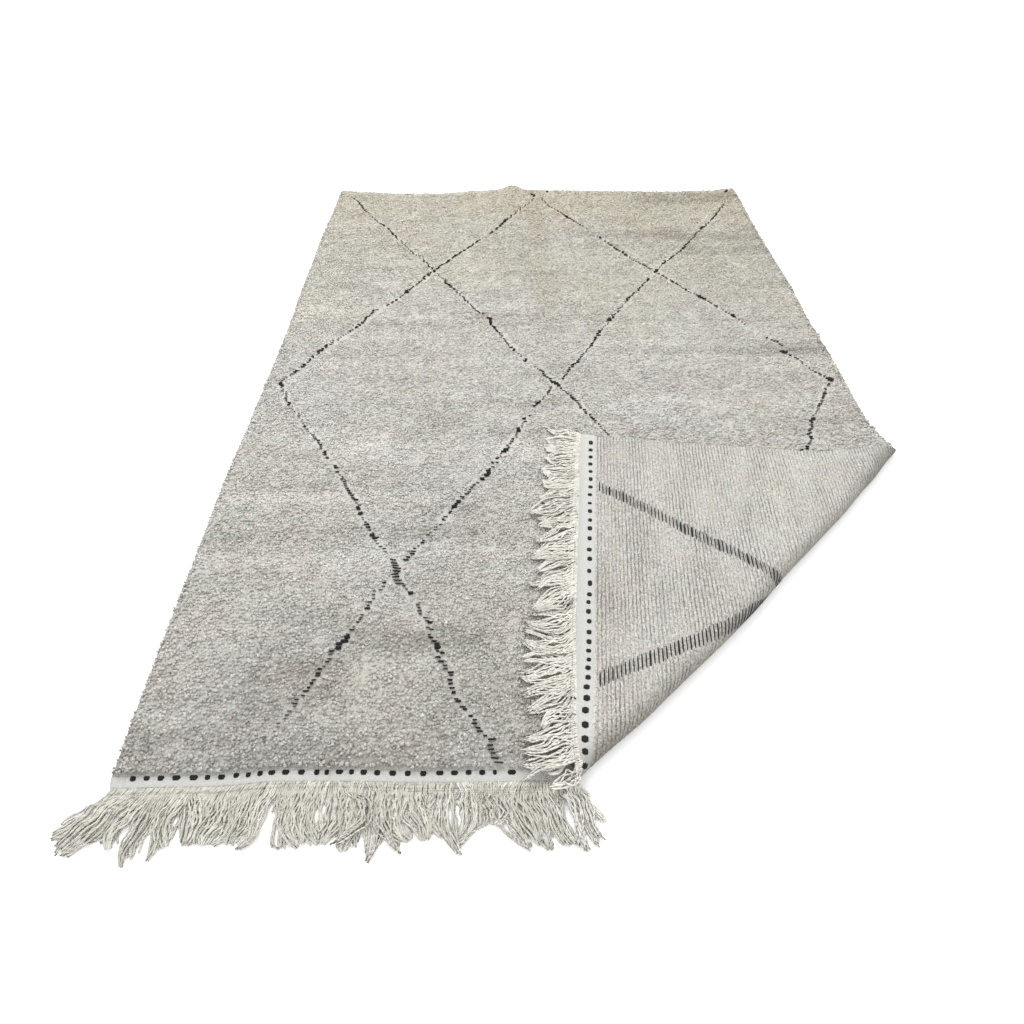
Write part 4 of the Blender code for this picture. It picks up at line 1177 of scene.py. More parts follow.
def tuft_tree():
    """Sets a lock of wool on each knot, along the way it leans, with its own size and turn."""
    found = bpy.data.node_groups.get("knotted_tufts")
    if found:
        return found
    number = "NodeSocketFloat"
    nodes, given, put = new_group(
        "knotted_tufts", "GeometryNodeTree",
        (("Geometry", "NodeSocketGeometry", None), ("Tufts", "NodeSocketCollection", None),
         ("Width", number, 1.0), ("Length", number, 1.0), ("Scatter", number, 0.15),
         ("Turn", number, 0.3), ("Seed", "NodeSocketInt", 1), ("Material", "NodeSocketMaterial", None)),
        (("Geometry", "NodeSocketGeometry"),))

    def kept(name):
        node = nodes.add("GeometryNodeInputNamedAttribute", {"Name": name}, data_type="FLOAT_VECTOR")
        return node.outputs["Attribute"]

    def chance(low, high, shift):
        seed = nodes.plus(given.outputs["Seed"], shift)
        node = nodes.add("FunctionNodeRandomValue", {"Seed": seed, 2: low, 3: high},
                         data_type="FLOAT")
        return node.outputs[1]

    points = nodes.add("GeometryNodeMeshToPoints", {0: given.outputs["Geometry"]})
    tufts = nodes.add("GeometryNodeCollectionInfo", {0: given.outputs["Tufts"], 1: True, 2: True})
    turn = nodes.add("FunctionNodeAxesToRotation", {0: kept("lean"), 1: kept("row")},
                     primary_axis="Z", secondary_axis="X")
    spin = chance(nodes.times(given.outputs["Turn"], -1.0), given.outputs["Turn"], 11)
    spin = nodes.add("ShaderNodeCombineXYZ", {2: spin})
    turned = nodes.add("FunctionNodeRotateRotation",
                       {0: turn.outputs[0],
                        1: nodes.add("FunctionNodeEulerToRotation", {0: spin.outputs[0]}).outputs[0]},
                       rotation_space="LOCAL")
    size = nodes.add("ShaderNodeSeparateXYZ", {0: kept("size")})
    low = nodes.minus(1.0, given.outputs["Scatter"])
    high = nodes.plus(1.0, given.outputs["Scatter"])
    wide = nodes.times(nodes.times(size.outputs[0], given.outputs["Width"]), chance(low, high, 22))
    deep = nodes.times(nodes.times(size.outputs[1], given.outputs["Width"]), chance(low, high, 33))
    tall = nodes.times(nodes.times(size.outputs[2], given.outputs["Length"]), chance(low, high, 44))
    scale = nodes.add("ShaderNodeCombineXYZ", {0: wide, 1: deep, 2: tall})
    pick = nodes.add("FunctionNodeRandomValue",
                     {"Seed": nodes.plus(given.outputs["Seed"], 55), 4: 0, 5: 2}, data_type="INT")
    set_on = nodes.add("GeometryNodeInstanceOnPoints",
                       {"Points": points.outputs[0], "Instance": tufts.outputs[0],
                        "Pick Instance": True, "Instance Index": pick.outputs[2],
                        "Rotation": turned.outputs[0], "Scale": scale.outputs[0]})
    real = nodes.add("GeometryNodeRealizeInstances", {0: set_on.outputs[0]})
    last = real.outputs[0]
    for name in ("lean", "row", "size"):
        last = nodes.add("GeometryNodeRemoveAttribute", {"Geometry": last, "Name": name}).outputs[0]
    done = nodes.add("GeometryNodeSetMaterial", {"Geometry": last,
                                                 "Material": given.outputs["Material"]})
    nodes.join(done.outputs[0], put.inputs[0])
    return nodes.tree


def set_tufts(name, knots, seed, material, shapes, turn):
    """A piece of tufts: knots holds place, lean, row, size, flat and tone arrays."""
    thing = new_object(name, knots["place"].tolist(), [])
    for key in ("lean", "row", "size", "flat"):
        keep_values(thing.data, key, knots[key], "FLOAT_VECTOR")
    keep_values(thing.data, "tone", knots["tone"])
    keep_values(thing.data, "warmth", wool_warmth(knots["flat"][:, 0], knots["flat"][:, 1]))
    own = sizes()
    return run_tree(thing, tuft_tree(), {
        "Tufts": shapes, "Width": own.tuft_width, "Length": own.tuft_length,
        "Scatter": own.tuft_scatter, "Turn": turn, "Seed": seed, "Material": material})


def lean_ways(across, along, rng, angle, ways):
    """Unit ways in which tufts lean: mostly to the front end, and outwards at the rims."""
    _, across_way, along_way, up = ways
    heading = math.radians(-90.0) + HEADING_SPREAD * rng.normal(0.0, 1.0, len(across))
    heading = heading + HEADING_DRIFT * drift(across, along, 0.13, 21)
    flat = np.stack([np.cos(heading), np.sin(heading)], axis=1)
    left, right = smooth(1.0 - across / RIM_TURN), smooth(1.0 - (WIDTH - across) / RIM_TURN)
    far = smooth(1.0 - (LENGTH - along) / RIM_TURN)
    out = np.stack([right - left, far], axis=1)
    share = np.clip(left + right + far, 0.0, 1.0)[:, None]
    flat = flat * (1.0 - 0.75 * share) + out
    flat /= np.maximum(np.linalg.norm(flat, axis=1)[:, None], 1e-6)
    front = smooth(along / FRONT_EASE)
    angle = angle * (0.25 + 0.75 * front)
    angle = angle + (RIM_ANGLE - angle) * share[:, 0] * front
    side = across_way * flat[:, :1] + along_way * flat[:, 1:]
    return up * np.cos(angle)[:, None] + side * np.sin(angle)[:, None], angle


def knot_places(rng):
    """Flat places of every tuft that shows, two to a knot, in slightly wavy rows of knots."""
    rows = np.arange(FIRST_ROW, LENGTH - 0.005, KNOT_ROW)
    columns = np.arange(KNOT_COLUMN * 0.25, WIDTH, KNOT_COLUMN / 2.0)
    across, along = np.meshgrid(columns, rows)
    across = across + rng.uniform(-0.5, 0.5, (len(rows), 1)) * KNOT_COLUMN
    across = across + rng.normal(0.0, COLUMN_SHAKE, across.shape)
    along = along + ROW_WAVE * drift(across, along, 0.08, 31)
    along = along + rng.normal(0.0, ROW_SHAKE, along.shape)
    across, along = across.ravel(), along.ravel()
    inside = ((across > RIM_CLEAR) & (across < WIDTH - RIM_CLEAR)
              & (along > HEM_CLEAR) & (along < LENGTH - RIM_CLEAR))
    across, along = across[inside], along[inside]
    length = folded_length(across, along)
    shown = covered(across, along) < 0.5
    shown &= ~((length > BARE_ROLL[0]) & (length < BARE_ROLL[1]))
    return across[shown], along[shown]


def near_marks(across, along, marks):
    """Distance from each place to the nearest dark bar, and to the nearest line of the lattice."""
    to_mark = np.full(len(across), 1.0)
    for mark_across, mark_along, width, depth in marks[:, :4]:
        close = ((np.abs(across - mark_across) < MARK_NEAR[0])
                 & (np.abs(along - mark_along) < MARK_NEAR[1]))
        found = np.hypot(np.maximum(np.abs(across[close] - mark_across) - 0.5 * width, 0.0),
                         np.maximum(np.abs(along[close] - mark_along) - 0.5 * depth, 0.0))
        to_mark[close] = np.minimum(to_mark[close], found)
    to_line = np.full(len(across), 1.0)
    for line in LATTICE:
        for (x0, y0), (x1, y1) in zip(line, line[1:]):
            length = math.hypot(x1 - x0, y1 - y0)
            ux, uy = (x1 - x0) / length, (y1 - y0) / length
            part = np.clip((across - x0) * ux + (along - y0) * uy, 0.0, length)
            found = np.hypot(across - x0 - part * ux, along - y0 - part * uy)
            to_line = np.minimum(to_line, found)
    return to_mark, to_line


def make_knots(across, along, rng, width, drop, tone, loose=10.0):
    """Everything that a tuft needs at each flat place. Loose is the spread of their lean."""
    height = pile_height(across, along) - drop
    foot = GROUND * TUFT_FOOT[0] + (height - GROUND) * TUFT_FOOT[1]
    ways = frame_at(across, along, foot)
    angle = np.radians(rng.normal(sizes().tuft_lean, loose, len(across)))
    lean, angle = lean_ways(across, along, rng, np.clip(angle, *TUFT_ANGLES), ways)
    tall = np.clip((height - foot) / np.cos(angle), *TUFT_HEIGHTS)
    flat = np.stack([across, along, np.zeros(len(across))], axis=1)
    deep = width * rng.uniform(*TUFT_DEPTHS, len(across))
    return {"place": ways[0], "lean": lean, "row": ways[1], "flat": flat, "tone": tone,
            "size": np.stack([width, deep, tall], axis=1)}


def pick(knots, chosen):
    """The chosen ones of these knots."""
    return {key: values[chosen] for key, values in knots.items()}


def build_pile():
    """The pale knotted pile, in bands from the front end to the far end."""
    rng = np.random.default_rng(7)
    marks = dark_places(np.random.default_rng(sizes().lattice_seed))
    across, along = knot_places(rng)
    to_mark, to_line = near_marks(across, along, marks)
    free = to_mark > BAR_CLEAR
    across, along, to_line, to_mark = across[free], along[free], to_line[free], to_mark[free]
    groove = GROOVE * smooth(1.0 - to_line / LINE_HALF) + GROOVE * smooth(1.0 - to_mark / MARK_HALF)
    uneven = UNEVEN * drift(across, along * 3.0, 0.06, 43) + rng.normal(0.0, UNEVEN, len(across))
    streak = drift(across, 7.0 * np.round((along - FIRST_ROW) / KNOT_ROW), 0.045, 61)
    uneven = uneven + STREAK_DEPTH * np.maximum(streak, 0.0)
    parting = seam(across, along)
    width = rng.uniform(*TUFT_WIDTHS, len(across))
    at_rim = np.minimum(across, WIDTH - across) < RIM_REACH
    width[at_rim] *= RIM_WIDTH
    # painted shade in the seams where the pile parts
    tone = wool_tone(across, along) - SEAM_SHADE * parting - STREAK_TONE * streak
    tone = tone + TUFT_TONE * rng.normal(0.0, 1.0, len(across))
    knots = make_knots(across, along, rng, width, groove + uneven + SEAM_DEPTH * parting,
                       np.clip(tone, 0.0, 1.0))
    material = wool_material("heathered_pile", 1.0, 1.15, 0.0035)
    shapes = tuft_meshes("tufts", 3, 0.5, TUFT_SHAPES)
    pieces = []
    for k, name in enumerate(BAND_NAMES):
        chosen = (along >= BAND_SPLITS[k]) & (along < BAND_SPLITS[k + 1])
        pieces.append(set_tufts(name, pick(knots, chosen), 100 + k, material, shapes,
                                sizes().tuft_turn))
    return pieces


def build_lattice():
    """The dark knots of the lattice, a little proud of the groove that they lie in."""
    rng = np.random.default_rng(13)
    marks = dark_places(np.random.default_rng(sizes().lattice_seed))
    shown = (covered(marks[:, 0], marks[:, 1]) < 0.5) & (marks[:, 1] > 0.006)
    shown &= marks[:, 1] < LENGTH - 0.004
    across, along, width, depth, dark = marks[shown].T
    tone = np.clip(1.0 - dark + rng.normal(0.0, 0.08, len(across)), 0.0, 1.0)
    knots = make_knots(across, along, rng, width, -BAR_PROUD, tone, BAR_LOOSE)
    knots["size"][:, 1] = depth
    shapes = tuft_meshes("bars", 4, 0.62, BAR_SHAPES)
    return set_tufts("lattice", knots, 77, dark_wool_material(), shapes, BAR_TURN)


# ---------------------------------------------------------------- strokes and dots

def float_rings(across, along, half_across, half_along, rise, face, sections=7, sides=6, blunt=3.2):
    """Rings of one yarn float that lies on a face of the cloth: a flat bar with round ends,
    longer in the direction in which it is larger. Face is 1 on the pile side, -1 on the back.
    The ends are the squarer the higher blunt is."""
    long_way = half_across >= half_along
    half_long, half_wide = (half_across, half_along) if long_way else (half_along, half_across)
    base = GROUND if face > 0 else 0.0
    angles = 2.0 * math.pi * np.arange(sides) / sides
    rings = []
    for k in range(sections):
        part = -1.0 + 2.0 * k / (sections - 1)
        full = math.sqrt(max(0.0, 1.0 - abs(part) ** blunt)) * 0.92 + 0.08
        wide = half_wide * full * np.cos(angles)
        high = rise * (0.30 + 0.70 * full * np.sin(angles))
        shift = np.full(sides, part * half_long)
        x, y = (shift, wide) if long_way else (wide, shift)
        rings.append(place_true(across + x, along + y, base + face * high))
    rings = np.array(rings)
    first = np.cross(rings[0, 1] - rings[0, 0], rings[0, 2] - rings[0, 0])
    if np.dot(first, rings[-1].mean(0) - rings[0].mean(0)) < 0.0:
        rings = rings[:, ::-1]
    return rings


# the lattice on the turned-back corner: true places along its two lines
FLAP_LINES = (
    ((1.784, 0.000), (1.732, 0.099), (1.686, 0.174), (1.636, 0.249), (1.591, 0.324), (1.572, 0.362),
     (1.509, 0.437), (1.462, 0.500)),
    ((1.160, 0.000), (1.172, 0.024), (1.213, 0.099), (1.250, 0.174), (1.288, 0.249), (1.333, 0.324),
     (1.389, 0.400), (1.448, 0.500)),
)
STROKE_HALF = 0.0240        # half a stroke's length,
THIN_STROKE = (0.0016, 0.0022)  # half its depth, mostly
BOLD_STROKE = (0.0024, 0.0030)
BOLD_SHARE = 0.15
STROKE_RISE = 0.0007
STROKE_WANDER = 0.0013


def build_strokes():
    """The lattice on the turned-back corner: one dark float in each row of knots."""
    rng = np.random.default_rng(17)
    tubes = []
    for line in FLAP_LINES:
        ways, alongs = np.array(line).T
        for row in range(int((alongs[-1] - RIB_FIRST) / RIB_PITCH)):
            along = RIB_FIRST + (row + 0.5) * RIB_PITCH
            across = float(np.interp(along, alongs, ways)) + rng.normal(0.0, STROKE_WANDER)
            kind = THIN_STROKE if rng.random() < 1.0 - BOLD_SHARE else BOLD_STROKE
            half_depth = rng.uniform(*kind)
            tubes.append(float_rings(across, along, STROKE_HALF * rng.uniform(0.88, 1.08),
                                     half_depth, STROKE_RISE + RIB_HEIGHT, -1.0, sections=9))
    strokes = joined_tubes("back_strokes", tubes)
    strokes.data.materials.append(dark_wool_material())
    return strokes


# the dots: across and length. The first ones show on the pile side, up to where the flap's fringe
# covers the hem, and the rest on the flap.
DOTS = metres((
    (45, 12), (73, 13), (102, 14), (134, 18), (170, 18), (199, 11), (228, 15), (258, 12), (283, 10),
    (307, 11), (331, 15), (360, 16), (393, 15), (425, 11), (446, 9), (472, 16), (497, 10),
    (522, 14), (550, 12), (582, 15), (613, 13), (645, 14), (679, 16), (709, 15), (738, 12),
    (766, 12), (792, 8), (827, 18), (976, 13), (1004, 14), (1030, 16), (1061, 16), (1094, 16),
    (1123, 16), (1150, 13), (1174, 13), (1198, 12), (1219, 10), (1242, 10), (1266, 14), (1292, 13),
    (1322, 13), (1350, 15), (1377, 12), (1400, 12), (1434, 18), (1472, 14), (1511, 15), (1541, 13),
    (1579, 15), (1614, 16), (1644, 13), (1677, 15), (1707, 9), (1740, 12), (1771, 12), (1803, 17),
    (1835, 11), (1867, 14), (1898, 14), (1929, 14), (1962, 19),
))
DOT_HALF_WIDTH = 0.0058
DOT_MIDDLE = -0.0030        # along, of the middle of the row of dots
DOT_WANDER = 0.0006
DOT_BLUNT = 5.0             # how square their ends are
DOT_RISES = (0.0022, 0.0020)    # on the pile side and on the back


def build_dots():
    """The row of dark wrapped stitches where the hem meets the pile, on both faces."""
    rng = np.random.default_rng(19)
    tubes = []
    for across, long in DOTS:
        along = DOT_MIDDLE + rng.normal(0.0, DOT_WANDER)
        wide = DOT_HALF_WIDTH * rng.uniform(0.88, 1.10)
        length = float(folded_length(*laid_flat(across, along)))
        if length < 0.0:
            tubes.append(float_rings(across, along, 0.5 * long, wide, DOT_RISES[0], 1.0,
                                     blunt=DOT_BLUNT))
        if length > -0.01:
            tubes.append(float_rings(across, along, 0.5 * long, wide, DOT_RISES[1], -1.0,
                                     blunt=DOT_BLUNT))
    dots = joined_tubes("hem_dots", tubes)
    dots.data.materials.append(dark_wool_material())
    return dots


# ---------------------------------------------------------------- the fringe

# clumps of strands: from and to across at the hem, where the clump's middle lies on the floor as
# across and along, where its tips lie, its width at the middle and at the tips, how high it
# crosses others
FLOOR_CLUMPS = metres((
    (4, 30, -18, -76, -66, -116, 20, 36, 0), (24, 60, 4, -86, -36, -150, 26, 40, 4),
    (58, 84, 46, -70, 12, -130, 20, 22, 1), (80, 104, 58, -88, 45, -137, 20, 12, 5),
    (96, 116, 90, -100, 87, -170, 14, 9, 3), (110, 134, 108, -100, 114, -154, 22, 24, 0),
    (132, 152, 136, -98, 145, -157, 16, 12, 3), (150, 180, 155, -88, 160, -137, 22, 24, 1),
    (176, 210, 190, -76, 186, -137, 24, 26, 4), (206, 240, 206, -86, 212, -136, 26, 26, 0),
    (238, 268, 238, -88, 236, -135, 24, 26, 3), (266, 300, 268, -86, 258, -135, 24, 26, 0),
    (298, 328, 292, -90, 286, -135, 22, 26, 2), (326, 354, 332, -84, 313, -148, 16, 12, 4),
    (354, 384, 370, -86, 380, -144, 18, 18, 0), (382, 424, 402, -86, 421, -138, 26, 26, 2),
    (422, 456, 436, -90, 447, -137, 24, 26, 0), (454, 480, 470, -86, 462, -134, 22, 20, 2),
    (470, 492, 534, -88, 478, -139, 12, 13, 10), (492, 530, 506, -90, 511, -148, 26, 24, 0),
    (528, 560, 560, -88, 542, -166, 20, 17, 3), (558, 584, 582, -84, 614, -157, 16, 10, 5),
    (580, 618, 604, -84, 630, -128, 24, 28, 0), (612, 650, 642, -82, 672, -128, 24, 24, 3),
    (648, 684, 676, -78, 694, -128, 24, 24, 0), (682, 712, 700, -90, 726, -158, 20, 16, 4),
    (710, 742, 742, -82, 722, -148, 18, 18, 1), (738, 770, 756, -72, 758, -110, 26, 26, 0),
    (766, 806, 786, -70, 784, -104, 28, 30, 3), (802, 838, 820, -82, 864, -151, 22, 16, 0),
    (832, 860, 846, -86, 882, -144, 20, 18, 4), (856, 882, 874, -88, 910, -156, 18, 16, 1),
    (878, 905, 902, -86, 936, -144, 20, 18, 4),
))
ROLL_CLUMPS = metres((
    (905, 922, 924, -80, 946, -148, 14, 14, 2), (922, 944, 942, -78, 970, -160, 16, 16, 6),
    (944, 968, 956, -78, 984, -150, 18, 16, 0), (966, 986, 968, -70, 999, -142, 16, 12, 4),
    (984, 1000, 972, -60, 1007, -104, 12, 11, 2),
))
# the same for the strands that lie back over the pile
FLAP_CLUMPS = metres((
    (1000, 1010, 946, -36, 900, -40, 10, 10, 12), (1008, 1022, 915, 0, 850, -30, 14, 16, 6),
    (1020, 1045, 915, 20, 847, -2, 18, 20, 2), (1043, 1070, 915, 42, 851, 20, 18, 14, 5),
    (1068, 1100, 924, 80, 854, 56, 14, 10, 3), (1098, 1130, 930, 115, 886, 85, 14, 13, 6),
    (1128, 1165, 925, 158, 858, 117, 18, 18, 2), (1163, 1192, 925, 184, 844, 156, 14, 16, 4),
    (1196, 1235, 920, 217, 848, 200, 22, 24, 0), (1233, 1270, 920, 248, 852, 236, 22, 22, 3),
    (1268, 1300, 925, 280, 858, 304, 20, 16, 5), (1298, 1332, 930, 316, 855, 326, 18, 14, 1),
    (1330, 1366, 935, 346, 860, 350, 18, 16, 4), (1364, 1398, 954, 386, 870, 364, 16, 13, 0),
    (1395, 1445, 938, 414, 887, 374, 22, 18, 7), (1438, 1470, 945, 455, 872, 460, 16, 11, 2),
    (1466, 1500, 945, 487, 887, 458, 18, 14, 4), (1498, 1530, 955, 529, 895, 502, 20, 20, 0),
    (1528, 1566, 950, 552, 882, 545, 22, 22, 3), (1562, 1602, 950, 584, 886, 562, 22, 18, 0),
    (1598, 1636, 966, 626, 899, 587, 18, 16, 6), (1634, 1670, 960, 660, 918, 642, 22, 20, 1),
    (1668, 1702, 970, 694, 906, 668, 18, 14, 3), (1698, 1745, 946, 724, 886, 692, 20, 11, 7),
    (1742, 1790, 965, 764, 916, 748, 30, 30, 0), (1786, 1832, 970, 812, 924, 816, 26, 22, 4),
    (1828, 1882, 975, 866, 926, 868, 32, 28, 0), (1876, 1918, 980, 922, 938, 916, 22, 16, 4),
    (1912, 1956, 986, 962, 938, 966, 26, 22, 0), (1952, 1984, 992, 1000, 944, 1000, 22, 22, 3),
    (1980, 1999, 1000, 1034, 952, 1034, 14, 18, 1),
))
STRAND_PITCH = 0.0036
STRAND_POINTS = 22
ROOT_POINTS = 3             # of them in the root, before the hem's edge
FLOOR_ROOTS = (-0.0215, -0.0245, -0.0300, -0.0380)  # the root's points, along
FLAP_ROOTS = (-0.0265, -0.0300, -0.0340, -0.0390)
ROOT_SHAKE = 0.0007
ROOT_SHARE = 0.62           # share of its full radius that a strand has at its root,
ROOT_LENGTH = 0.035         # and where it reaches the full one
STRAND_PHASE = 40.0         # turns strands of different tone about themselves, against each other
PLIES = 3
PLY_LENGTH = 0.0085         # length of a ply's turn
LAYER = 1.15                # rise from one layer of a clump to the next, in strand radii
MOST_LAYERS = 4
MOST_LEAN = 0.7             # how far the roots of a clump lean towards its middle, at most
GATHERED = 0.5              # share of its length by which a clump has drawn together
SPREAD = 1.10               # width of its tips, against the chart
POINTED = (0.35, 0.86)      # the tips draw in by this share, from here on
FULLNESS = (1.3, 1.35)      # least width of its middle: of the chart's, and of that at the hem
SHORTEST = 0.90             # shortest strand of a clump, against its longest
SLOT_SHAKE = 0.16           # how unevenly strands lie side by side
STRAYS = 0.14               # share of a clump's strands that stray from it,
STRAY_SLOT = 0.6            # this far,
SLOT_LIMIT = 1.15           # but never farther out than this
ROOT_SWING = 0.15           # a swing starts with this share of its size
SWINGS = (0.7, 1.4)         # how often a clump swings from side to side,
SWING_SIZES = (0.0050, 0.0120)  # and how far
WRIGGLES = (0.8, 1.8)       # the same for a single strand
WRIGGLE_SIZES = (0.0006, 0.0032)
CURL = 0.0034               # how far strands curl near the hem,
CURLS = (2.0, 3.6)          # and how often
RIPPLE = 0.0010             # how far they ripple off the floor,
RIPPLES = (1.5, 3.0)        # and how often
SETTLED = 0.32              # share of its length by which a strand has come down
CLUMP_REST = 0.0012         # the fringe lies this high on the pile's tips
FLOOR_TONES = (0.0, 0.60)   # tones of the strands, 0 for the deepest cream and 1 for the palest
FLAP_TONES = (0.35, 1.0)
UNDER_STEP = 0.020          # clumps that lie under the others are this wide at the hem,
UNDER_PITCH = 0.0050        # with strands this far apart,
UNDER_SHARES = (0.76, 0.96) # and this long against the others
UNDER_WIDTHS = (1.15, 0.9)  # their widths at the middle and the tips, against that at the hem
FORK = (0.322, 0.372)       # where the fringe parts, across, and those under it stay short
FORK_SHARES = (0.30, 0.45)


def strand_shares():
    """Shares of a strand's length at its points, from the hem's edge to the tip."""
    return np.linspace(0.0, 1.0, STRAND_POINTS - ROOT_POINTS)


def wave(shares, cycles, phase):
    """A strand's slow wriggle, nothing at its root and strongest at its tip."""
    swing = np.sin(2.0 * math.pi * cycles * shares + phase) - math.sin(phase)
    return swing * (ROOT_SWING + (1.0 - ROOT_SWING) * shares)


def under_clumps(clumps, rng):
    """Clumps that lie under these, fill the gaps between them and are a little shorter."""
    rows = np.array(sorted(clumps))
    centres = 0.5 * (rows[:, 0] + rows[:, 1])
    leans = np.column_stack([rows[:, 2] - centres, rows[:, 3], rows[:, 4] - centres, rows[:, 5]])
    mid_width, tip_width = [part * UNDER_STEP for part in UNDER_WIDTHS]
    under = []
    for first in np.arange(rows[0, 0], rows[-1, 1] - 0.5 * UNDER_STEP, UNDER_STEP):
        middle = first + 0.5 * UNDER_STEP
        ways = [np.interp(middle, centres, lean) for lean in leans.T]
        share = rng.uniform(*(FORK_SHARES if FORK[0] < middle < FORK[1] else UNDER_SHARES))
        under.append((first, first + UNDER_STEP, middle + share * ways[0],
                      share * (ways[1] + HEM) - HEM, middle + share * ways[2],
                      share * (ways[3] + HEM) - HEM, mid_width, tip_width, 0.0))
    return under


def clump_roots(clump, count, rng, roots, middle, tip):
    """The roots of a clump's strands, leaning towards its middle, and the way along the hem."""
    first, last = clump[:2]
    starts = [roots(first + (last - first) * (k + 0.5) / count + rng.normal(0.0, ROOT_SHAKE))
              for k in range(count)]
    root = np.mean([start[-1, :2] for start in starts], axis=0)
    hem_way = starts[-1][-1, :2] - starts[0][-1, :2]
    hem_way /= np.linalg.norm(hem_way)
    toward = 2.0 * middle - 0.5 * (root + tip) - root
    lean = np.clip(toward @ hem_way / np.linalg.norm(toward), -MOST_LEAN, MOST_LEAN)
    for start in starts:
        out = np.linalg.norm(start[:, :2] - start[0, :2], axis=1)
        start[:, :2] += (lean * out)[:, None] * hem_way
    return starts, hem_way


def clump_strands(clump, rng, roots, rest, level, pitch=STRAND_PITCH):
    """Paths of a clump's strands. roots(across) gives the points of a strand up to the hem's edge,
    rest is the height of what the clump lies on, level the height of the last root point above it."""
    first, last, mid_across, mid_along, tip_across, tip_along, mid_width, tip_width, over = clump
    count = max(2, round((last - first) / pitch))
    radius = sizes().strand_radius
    to_floor = np.array([-WIDTH / 2.0, -LENGTH / 2.0])
    middle = np.array([mid_across, mid_along]) + to_floor
    tip = np.array([tip_across, tip_along]) + to_floor
    starts, hem_way = clump_roots(clump, count, rng, roots, middle, tip)
    root = np.mean([start[-1, :2] for start in starts], axis=0)
    knee = 2.0 * middle - 0.5 * (root + tip)
    full = max(FULLNESS[0] * mid_width, FULLNESS[1] * (last - first))
    tip_width = SPREAD * tip_width
    layers = min(MOST_LAYERS, math.ceil(count * 2.0 * radius / full))
    swings, swing_phase = rng.uniform(*SWINGS), rng.uniform(0.0, 2.0 * math.pi)
    swing_size = rng.uniform(*SWING_SIZES)
    on_top = pitch == STRAND_PITCH
    paths = []
    for k, start in enumerate(starts):
        shares = strand_shares() * rng.uniform(SHORTEST, 1.0)
        part = shares[:, None]
        centre = (1.0 - part) ** 2 * root + 2.0 * part * (1.0 - part) * knee + part ** 2 * tip
        heading = np.gradient(centre, axis=0)
        heading /= np.linalg.norm(heading, axis=1)[:, None]
        side = np.column_stack([-heading[:, 1], heading[:, 0]])
        side *= np.sign(side[0] @ hem_way)
        slot = 2.0 * (k + 0.5) / count - 1.0 + rng.normal(0.0, SLOT_SHAKE)
        if rng.random() < STRAYS:
            slot += rng.uniform(-STRAY_SLOT, STRAY_SLOT)
        slot = min(SLOT_LIMIT, max(-SLOT_LIMIT, slot))
        gather = smooth(shares / GATHERED)
        width = full + (tip_width - full) * smooth((shares - 0.5) / 0.5)
        width = width * (1.0 - POINTED[0] * smooth((shares - POINTED[1]) / (1.0 - POINTED[1])))
        aside = 0.5 * slot * gather * np.maximum(width - 1.4 * radius, 0.0)
        aside = aside + swing_size * wave(shares, swings, swing_phase)
        aside = aside + rng.uniform(*WRIGGLE_SIZES) * wave(shares, rng.uniform(*WRIGGLES),
                                                           rng.uniform(0.0, 6.28))
        curl = (1.0 - smooth((shares - 0.55) / 0.4)) * smooth(shares / 0.15)
        aside = aside + rng.uniform(0.3, 1.0) * CURL * curl * np.sin(
            2.0 * math.pi * rng.uniform(*CURLS) * shares + rng.uniform(0.0, 6.28))
        line = centre + (1.0 - gather)[:, None] * (start[-1, :2] - root) + side * aside[:, None]
        rise = (k % layers) * LAYER * radius + over + (radius if on_top else 0.0)
        ripple = RIPPLE * np.sin(2.0 * math.pi * rng.uniform(*RIPPLES) * shares
                                 + rng.uniform(0.0, 6.0))
        settled = smooth(shares / SETTLED)
        z = rest + radius + rise * smooth(shares / 0.35) * (1.0 - 0.4 * smooth((shares - 0.7) / 0.3))
        z = z + level * (1.0 - settled) ** 1.4 + np.abs(ripple) * settled
        path = np.column_stack([line, z])
        paths.append(np.concatenate([start[:-1], path]) if on_top else path)
    return paths


def floor_roots(across):
    """A strand's first points on top of the hem, out to its edge."""
    radius = sizes().strand_radius
    heights = (GROUND - 0.4 * radius, GROUND + 0.55 * radius, GROUND + 0.6 * radius, GROUND)
    return np.array([place(across, along, height) for along, height in zip(FLOOR_ROOTS, heights)])


def flap_roots(across):
    """A strand's first points in the hem's edge, where it lies on the flap or over the roll."""
    return np.array([place(across, along, 0.5 * GROUND) for along in FLAP_ROOTS])


